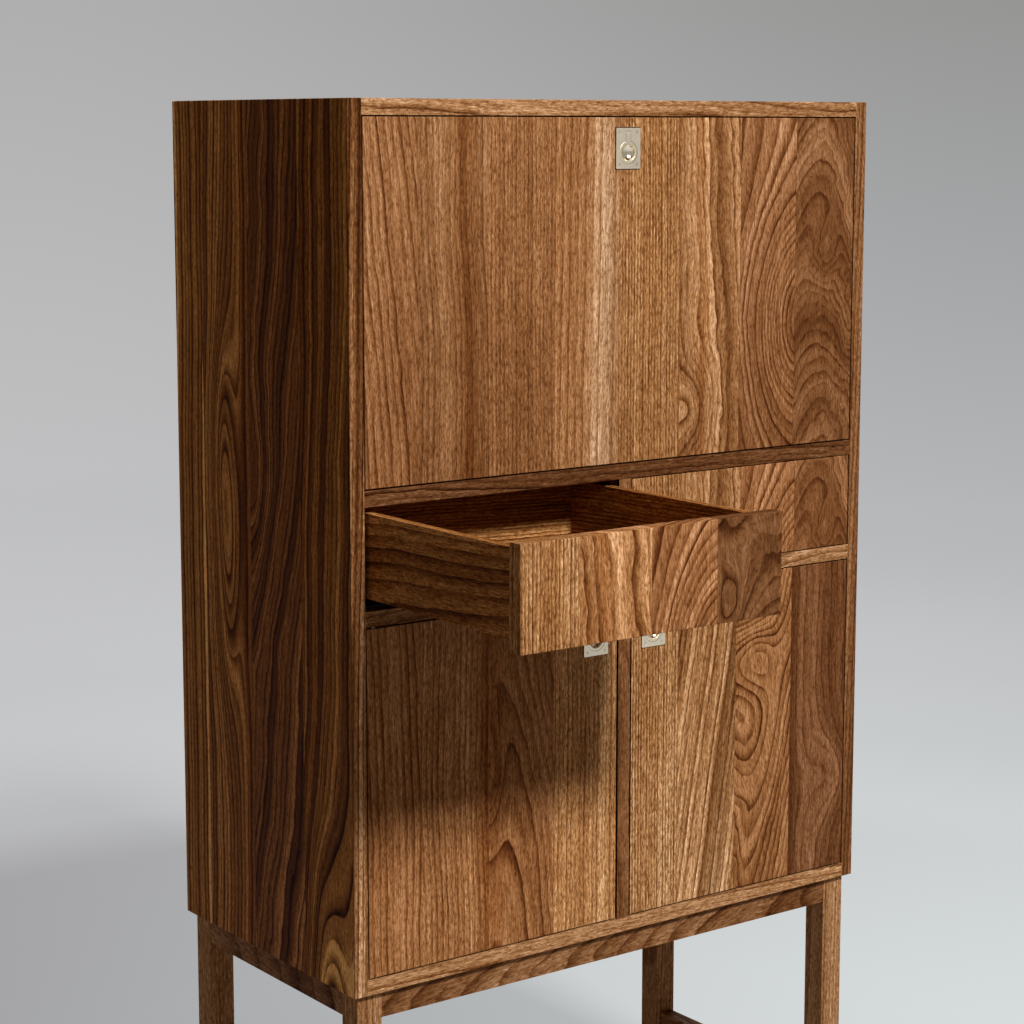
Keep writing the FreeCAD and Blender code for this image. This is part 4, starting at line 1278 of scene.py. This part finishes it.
@dataclass(frozen=True)
class Doors:
    """The two doors with their pivots.

    Attributes:
        left_seed: Makes the left door's noise its own.
        right_seed: Makes the right door's noise its own.
        pivot_tone_and_shade: The pivot plates' colour, darkened as painted shade in the door gaps.
        pivot_roughness: How rough these are.
    """

    left_seed: float = 5.0
    right_seed: float = 7.0
    pivot_tone_and_shade: Triple = (128, 123, 114)
    pivot_roughness: float = 0.42

    def build(self) -> None:
        """Dresses both doors."""
        x, y, z = Axis.X, Axis.Y, Axis.Z
        for door, seed, staves in (
            ("left", self.left_seed, LEFT_DOOR_STAVES),
            ("right", self.right_seed, RIGHT_DOOR_STAVES),
        ):
            recess = middle_of(f"door_{door}_pull_plate")
            cut = Cut(x, y, z, seed=seed)
            # Each door gets painted shade in the recess round its pull's plate and on its edges in
            # the gaps.
            finish = Walnut(f"{door}_door", cut, staves, recess=recess, painted_gap_shade=True)
            dress(finish, f"door_{door}")
        # The pivot plates' colour is darkened as painted shade in the door gaps.
        dress(
            Metal("pivot_nickel", self.pivot_tone_and_shade, self.pivot_roughness, BRUSHED_ACROSS),
            "door_pivot_plates",
            "door_left_fittings",
            "door_right_fittings",
        )


@dataclass(frozen=True)
class Drawers:
    """The two drawers with their boxes and runners.

    Attributes:
        figure_drop: How far over its own figure the leaf's figure lies that a front shows.
        left_shift: How far the left front's figure is moved across.
        right_shift: How far the right front's is.
        wall: The walls' thickness.
        margin: How far a face may be off its place.
        runner_tone_and_shade: The runners' colour, darkened as painted shade under the drawers.
        runner_roughness: How rough these are.
        bottom_tone_and_shade: The bottoms' colour, the wood's tone darkened as painted shade inside
            the drawers.
        bottom_start: Where their staves start at the front.
        bottom_level: How high the pith of their staves lies.
        left_gains: How light each stave of the left front is, against the leaf's.
        right_gains: How light each of the right front's is.
    """

    figure_drop: float = 0.4175
    left_shift: float = 0.4335
    right_shift: float = -0.006
    wall: float = 0.013
    margin: float = 0.0001
    runner_tone_and_shade: Triple = (96, 97, 100)
    runner_roughness: float = 0.42
    bottom_tone_and_shade: Triple = (96, 60, 34)
    bottom_start: float = -0.4
    bottom_level: float = 0.77
    left_gains: tuple[float, ...] = (1.0, 1.0, 1.0, 1.0, 1.0, 1.10, 1.07, 0.94)
    right_gains: tuple[float, ...] = (1.0, 1.0, 1.0, 1.0, 1.0, 1.0, 1.06, 1.05)

    def build(self) -> None:
        """Dresses fronts, walls, bottoms and runners."""
        x, y, z = Axis.X, Axis.Y, Axis.Z
        for side, shift, gains, wall_seed, bottom_seed in (
            ("left", self.left_shift, self.left_gains, 120.0, 71),
            ("right", self.right_shift, self.right_gains, 133.0, 72),
        ):
            front = Cut(x, y, z, (shift, 0.0, self.figure_drop), seed=LEAF_SEED)
            staves = toned(LEAF_STAVES, gains)
            dress(Walnut(f"{side}_drawer_front", front, staves), f"drawer_{side}_front")
            low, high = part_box(f"drawer_{side}_walls")
            turned = Cut(
                z,
                x,
                y,
                seed=wall_seed,
                turned_behind=high.y - self.wall - self.margin,
                turned_between=(low.x + self.wall, high.x - self.wall),
            )
            dress(Walnut(f"{side}_drawer_walls", turned, (WALL_STAVE,)), f"drawer_{side}_walls")
            # The bottoms' colour is darkened as painted shade inside the drawers.
            bottom = planks(
                self.bottom_start, PLANK, 4, self.bottom_tone_and_shade, bottom_seed, level=self.bottom_level
            )
            dress(
                Walnut(f"{side}_drawer_bottom", Cut(y, z, x, seed=140.0), bottom),
                f"drawer_{side}_bottom",
            )
        # The runners' colour is darkened as painted shade under the drawers.
        dress(
            Metal("runner_zinc", self.runner_tone_and_shade, self.runner_roughness, ROLLED_DEEP),
            "runner_case_members",
            "runner_slides_left",
            "runner_slides_right",
            "drawer_left_runner_members",
            "drawer_right_runner_members",
        )


@dataclass(frozen=True)
class Pulls:
    """The three flush ring pulls.

    Attributes:
        tone: The plates' and rings' colour.
        screw_tone: The screws' colour.
        roughness: How rough plates and rings are.
        screw_roughness: How rough the screws are.
        cup: The depth of the cabinet behind which the cups are polished.
    """

    tone: Triple = (246, 231, 206)
    screw_tone: Triple = (238, 223, 198)
    roughness: float = 0.46
    screw_roughness: float = 0.44
    cup: float = -0.0595

    def build(self) -> None:
        """Dresses plates, rings and screws."""
        panels = ("drop_front", "door_left", "door_right")
        dress(
            Metal(
                "pull_plate",
                self.tone,
                self.roughness,
                BRUSHED_UP,
                contrast=0.08,
                polished_behind=self.cup,
            ),
            *(f"{panel}_pull_plate" for panel in panels),
        )
        dress(
            Metal("pull_ring", self.tone, self.roughness, TUMBLED, contrast=0.06),
            *(f"{panel}_pull_ring" for panel in panels),
        )
        dress(
            Metal("pull_screws", self.screw_tone, self.screw_roughness, TUMBLED, contrast=0.1),
            *(f"{panel}_pull_screws" for panel in panels),
        )


# ---------------------------------------------------------------- studio


# The backdrop's painted light, as greys to the camera's left and right: 0 is high on the wall, 0.5 is
# the wall's foot and 1 is the floor under the cabinet. The greys grade as light falls off, and the
# left greys' darker end is a painted shadow of the cabinet on the floor.
LEFT_GREYS_AND_SHADOW = (
    (0.0, 175, 175, 175),
    (0.33, 187, 187, 187),
    (0.5, 192, 192, 194),
    (0.56, 187, 188, 191),
    (0.65, 166, 169, 173),
    (0.745, 165, 167, 171),
    (0.775, 137, 137, 143),
    (1.0, 132, 131, 138),
)
RIGHT_GREYS = (
    (0.0, 150, 150, 149),
    (0.33, 168, 169, 171),
    (0.53, 180, 181, 183),
    (0.65, 155, 160, 164),
    (0.70, 154, 162, 165),
    (0.77, 169, 178, 181),
    (0.88, 184, 196, 197),
    (1.0, 188, 200, 201),
)


@dataclass(frozen=True)
class Lamp:
    """One soft round lamp that looks at a point of the cabinet.

    Attributes:
        name: The lamp's name.
        azimuth: Where it stands about the cabinet, in degrees: 0 is in front, 90 to the right.
        elevation: How high it stands over its target, in degrees.
        distance: How far it stands from its target, in metres.
        size: Its width, in metres.
        power: Its power, in watts.
        colour: Its colour, as light values.
        target: The point that it looks at.
    """

    name: str
    azimuth: float
    elevation: float
    distance: float
    size: float
    power: float
    colour: Triple = (1.0, 1.0, 1.0)
    target: Triple = (0.0, 0.0, 0.85)

    def build(self) -> None:
        """Places the lamp."""
        around, up = math.radians(self.azimuth), math.radians(self.elevation)
        away = Vector(
            (math.sin(around) * math.cos(up), -math.cos(around) * math.cos(up), math.sin(up))
        )
        data = bpy.data.lights.new(self.name, "AREA")
        data.shape, data.size = "DISK", self.size
        data.energy, data.color = self.power, self.colour
        lamp = bpy.data.objects.new(self.name, data)
        lamp.location = Vector(self.target) + away * self.distance
        lamp.rotation_euler = (-away).to_track_quat("-Z", "Y").to_euler()
        bpy.context.scene.collection.objects.link(lamp)
        LOG.info("%s: lamp", self.name)


@dataclass(frozen=True)
class Studio:
    """Floor, surrounding wall, lamps, world and camera.

    Attributes:
        radius: How far the wall stands from the cabinet's middle.
        wall_height: The wall's height.
        low_wall: The height of its middle ring of points.
        ramp_height: How many metres of height the whole ramp of greys stands for.
        sides: The sides of floor and wall.
        floor_radii: The floor's rings of points inside the wall.
        lit_radius: How far out the floor takes the lamps' light in full.
        floor_grey: How much of it the floor sends back.
        stand_off: How far the camera stands from the cabinet's middle.
        to_the_right: The camera's right, along x and y.
        blend_half: How far to each side the left and right greys blend.
        fill: The strength of the light from all round.
        fill_colour: Its colour.
        lamps: The lamps.
        camera_place: The camera's place.
        camera_turn: How far it is turned about the vertical, in degrees.
        camera_dip: How far it looks down, in degrees.
        lens: Its focal length, in millimetres.
        shift: Its upward shift, as a share of the frame.
        reach: The nearest and the farthest that it sees.
    """

    radius: float = 8.0
    wall_height: float = 7.0
    low_wall: float = 2.2
    ramp_height: float = 4.2
    sides: int = 128
    floor_radii: tuple[float, ...] = (0.5, 2.0, 4.0, 6.0)
    lit_radius: float = 3.0
    floor_grey: float = 0.32
    stand_off: float = 3.3
    to_the_right: Pair = (0.807, -0.59)
    blend_half: float = 2.5
    fill: float = 0.105
    fill_colour: Triple = (1.0, 0.64, 0.26)
    lamps: tuple[Lamp, ...] = (
        Lamp("key_lamp", azimuth=1.5, elevation=42.0, distance=7.0, size=1.15, power=452.0),
        Lamp("back_lamp", azimuth=140.0, elevation=35.0, distance=5.0, size=2.5, power=70.0),
    )
    camera_place: Triple = (-2.0740, -2.5981, 1.5617)
    camera_turn: float = -36.514
    camera_dip: float = 7.887
    lens: float = 84.255
    shift: float = -0.05
    reach: Pair = (0.05, 100.0)

    def _ring(self, heights: Sequence[Pair], name: str) -> bpy.types.Object:
        """A round shell about the cabinet.

        Args:
            heights: The radius and height of each ring of points.
            name: The new object's name.

        Returns:
            The shell.
        """
        turns = [2 * math.pi * i / self.sides for i in range(self.sides)]
        points = [(r * math.cos(t), r * math.sin(t), h) for r, h in heights for t in turns]
        faces = []
        for inner in range(len(heights) - 1):
            for i in range(self.sides):
                j = (i + 1) % self.sides
                a, b = inner * self.sides, (inner + 1) * self.sides
                faces.append((a + i, a + j, b + j, b + i))
        if heights[0][0] < self.radius:
            faces.append(tuple(range(self.sides)))
        mesh = bpy.data.meshes.new(name)
        mesh.from_pydata(points, [], faces)
        shell = bpy.data.objects.new(name, mesh)
        bpy.context.scene.collection.objects.link(shell)
        return shell

    def _backdrop(self, bench: Bench, level: Signal) -> Signal:
        """The backdrop's own glow, which only the camera, gloss and glass see: painted light, with a
        painted shadow on the floor to the camera's left.

        Args:
            bench: The node maker.
            level: 0 high on the wall, 0.5 at its foot and 1 under the cabinet.

        Returns:
            The shader.
        """
        x, y, _ = bench.place()
        aside = x * self.to_the_right[0] + y * self.to_the_right[1]
        # The left greys hold a painted shadow of the cabinet on the floor.
        left, right = (
            bench.add(
                "ShaderNodeValToRGB",
                {"stops": [(place, linear(*tone)) for place, *tone in greys]},
                {0: level},
            )
            for greys in (LEFT_GREYS_AND_SHADOW, RIGHT_GREYS)
        )
        colour = bench.tint(aside.rise(-self.blend_half, self.blend_half), left, right)
        path = bench.add("ShaderNodeLightPath", out="Is Camera Ray").socket.node
        seen = Signal(bench, path.outputs["Is Camera Ray"])
        for ray in ("Is Glossy Ray", "Is Transmission Ray"):
            seen = seen + Signal(bench, path.outputs[ray])
        return bench.add("ShaderNodeEmission", {}, {"Color": colour, "Strength": seen})

    def _floor(self) -> None:
        """The pale floor, which keeps the cabinet's cast shadow, with the backdrop's painted light
        and painted shadow over it.
        """
        rings = [(radius, 0.0) for radius in (*self.floor_radii, self.radius)]
        shell = self._ring(rings, "studio_floor")
        bench = Bench("pale_floor")
        x, y, _ = bench.place()
        away = (x * x + y * y).plain("SQRT")
        near = 1.0 - away.rise(self.lit_radius, self.radius)
        reach = (self.radius + self.stand_off) / (away + self.stand_off)
        level = (reach - 1.0) / self.ramp_height + 0.5
        grey = bench.tint(near, (0.0, 0.0, 0.0), (self.floor_grey,) * 3)
        matt = bench.add("ShaderNodeBsdfDiffuse", {}, {"Color": grey})
        bench.close(
            bench.add("ShaderNodeAddShader", {}, {0: matt, 1: self._backdrop(bench, level)})
        )
        shell.data.materials.append(bench.material)
        LOG.info("studio_floor: stage")

    def _wall(self) -> None:
        """The round wall behind, seen but giving no light."""
        rings = [(self.radius, height) for height in (0.0, self.low_wall, self.wall_height)]
        shell = self._ring(rings, "studio_wall")
        bench = Bench("pale_wall")
        level = 0.5 - bench.place()[2] / self.ramp_height
        bench.close(self._backdrop(bench, level))
        shell.data.materials.append(bench.material)
        shell.visible_diffuse = False
        shell.visible_shadow = False
        LOG.info("studio_wall: stage")

    def _world(self) -> None:
        """An even dim light from all round."""
        world = bpy.data.worlds.new("studio")
        bpy.context.scene.world = world
        world.use_nodes = True
        bench = Bench("studio", world.node_tree)
        sky = bench.add(
            "ShaderNodeBackground", {}, {"Color": self.fill_colour, "Strength": self.fill}
        )
        bench.add("ShaderNodeOutputWorld", {}, {"Surface": sky})

    def _camera(self) -> None:
        """The camera that the cabinet is looked at with."""
        data = bpy.data.cameras.new("camera")
        data.lens, data.shift_y = self.lens, self.shift
        data.clip_start, data.clip_end = self.reach
        camera = bpy.data.objects.new("camera", data)
        camera.location = self.camera_place
        camera.rotation_euler = (
            math.radians(90.0 - self.camera_dip),
            0.0,
            math.radians(self.camera_turn),
        )
        bpy.context.scene.collection.objects.link(camera)
        bpy.context.scene.camera = camera

    def build(self) -> None:
        """Sets up the stage, the light and the camera."""
        self._camera()
        self._floor()
        self._wall()
        self._world()
        for lamp in self.lamps:
            lamp.build()
        bpy.context.scene.view_settings.view_transform = "Standard"


def main() -> None:
    """Dresses each sub-assembly in order, and sets up the studio."""
    logging.basicConfig(level=logging.INFO, format="%(name)s %(message)s")
    for part in (Studio(), Case(), LegFrame(), DropFront(), Doors(), Drawers(), Pulls()):
        LOG.info("-- %s", type(part).__name__)
        part.build()


if __name__ == "__main__":
    main()
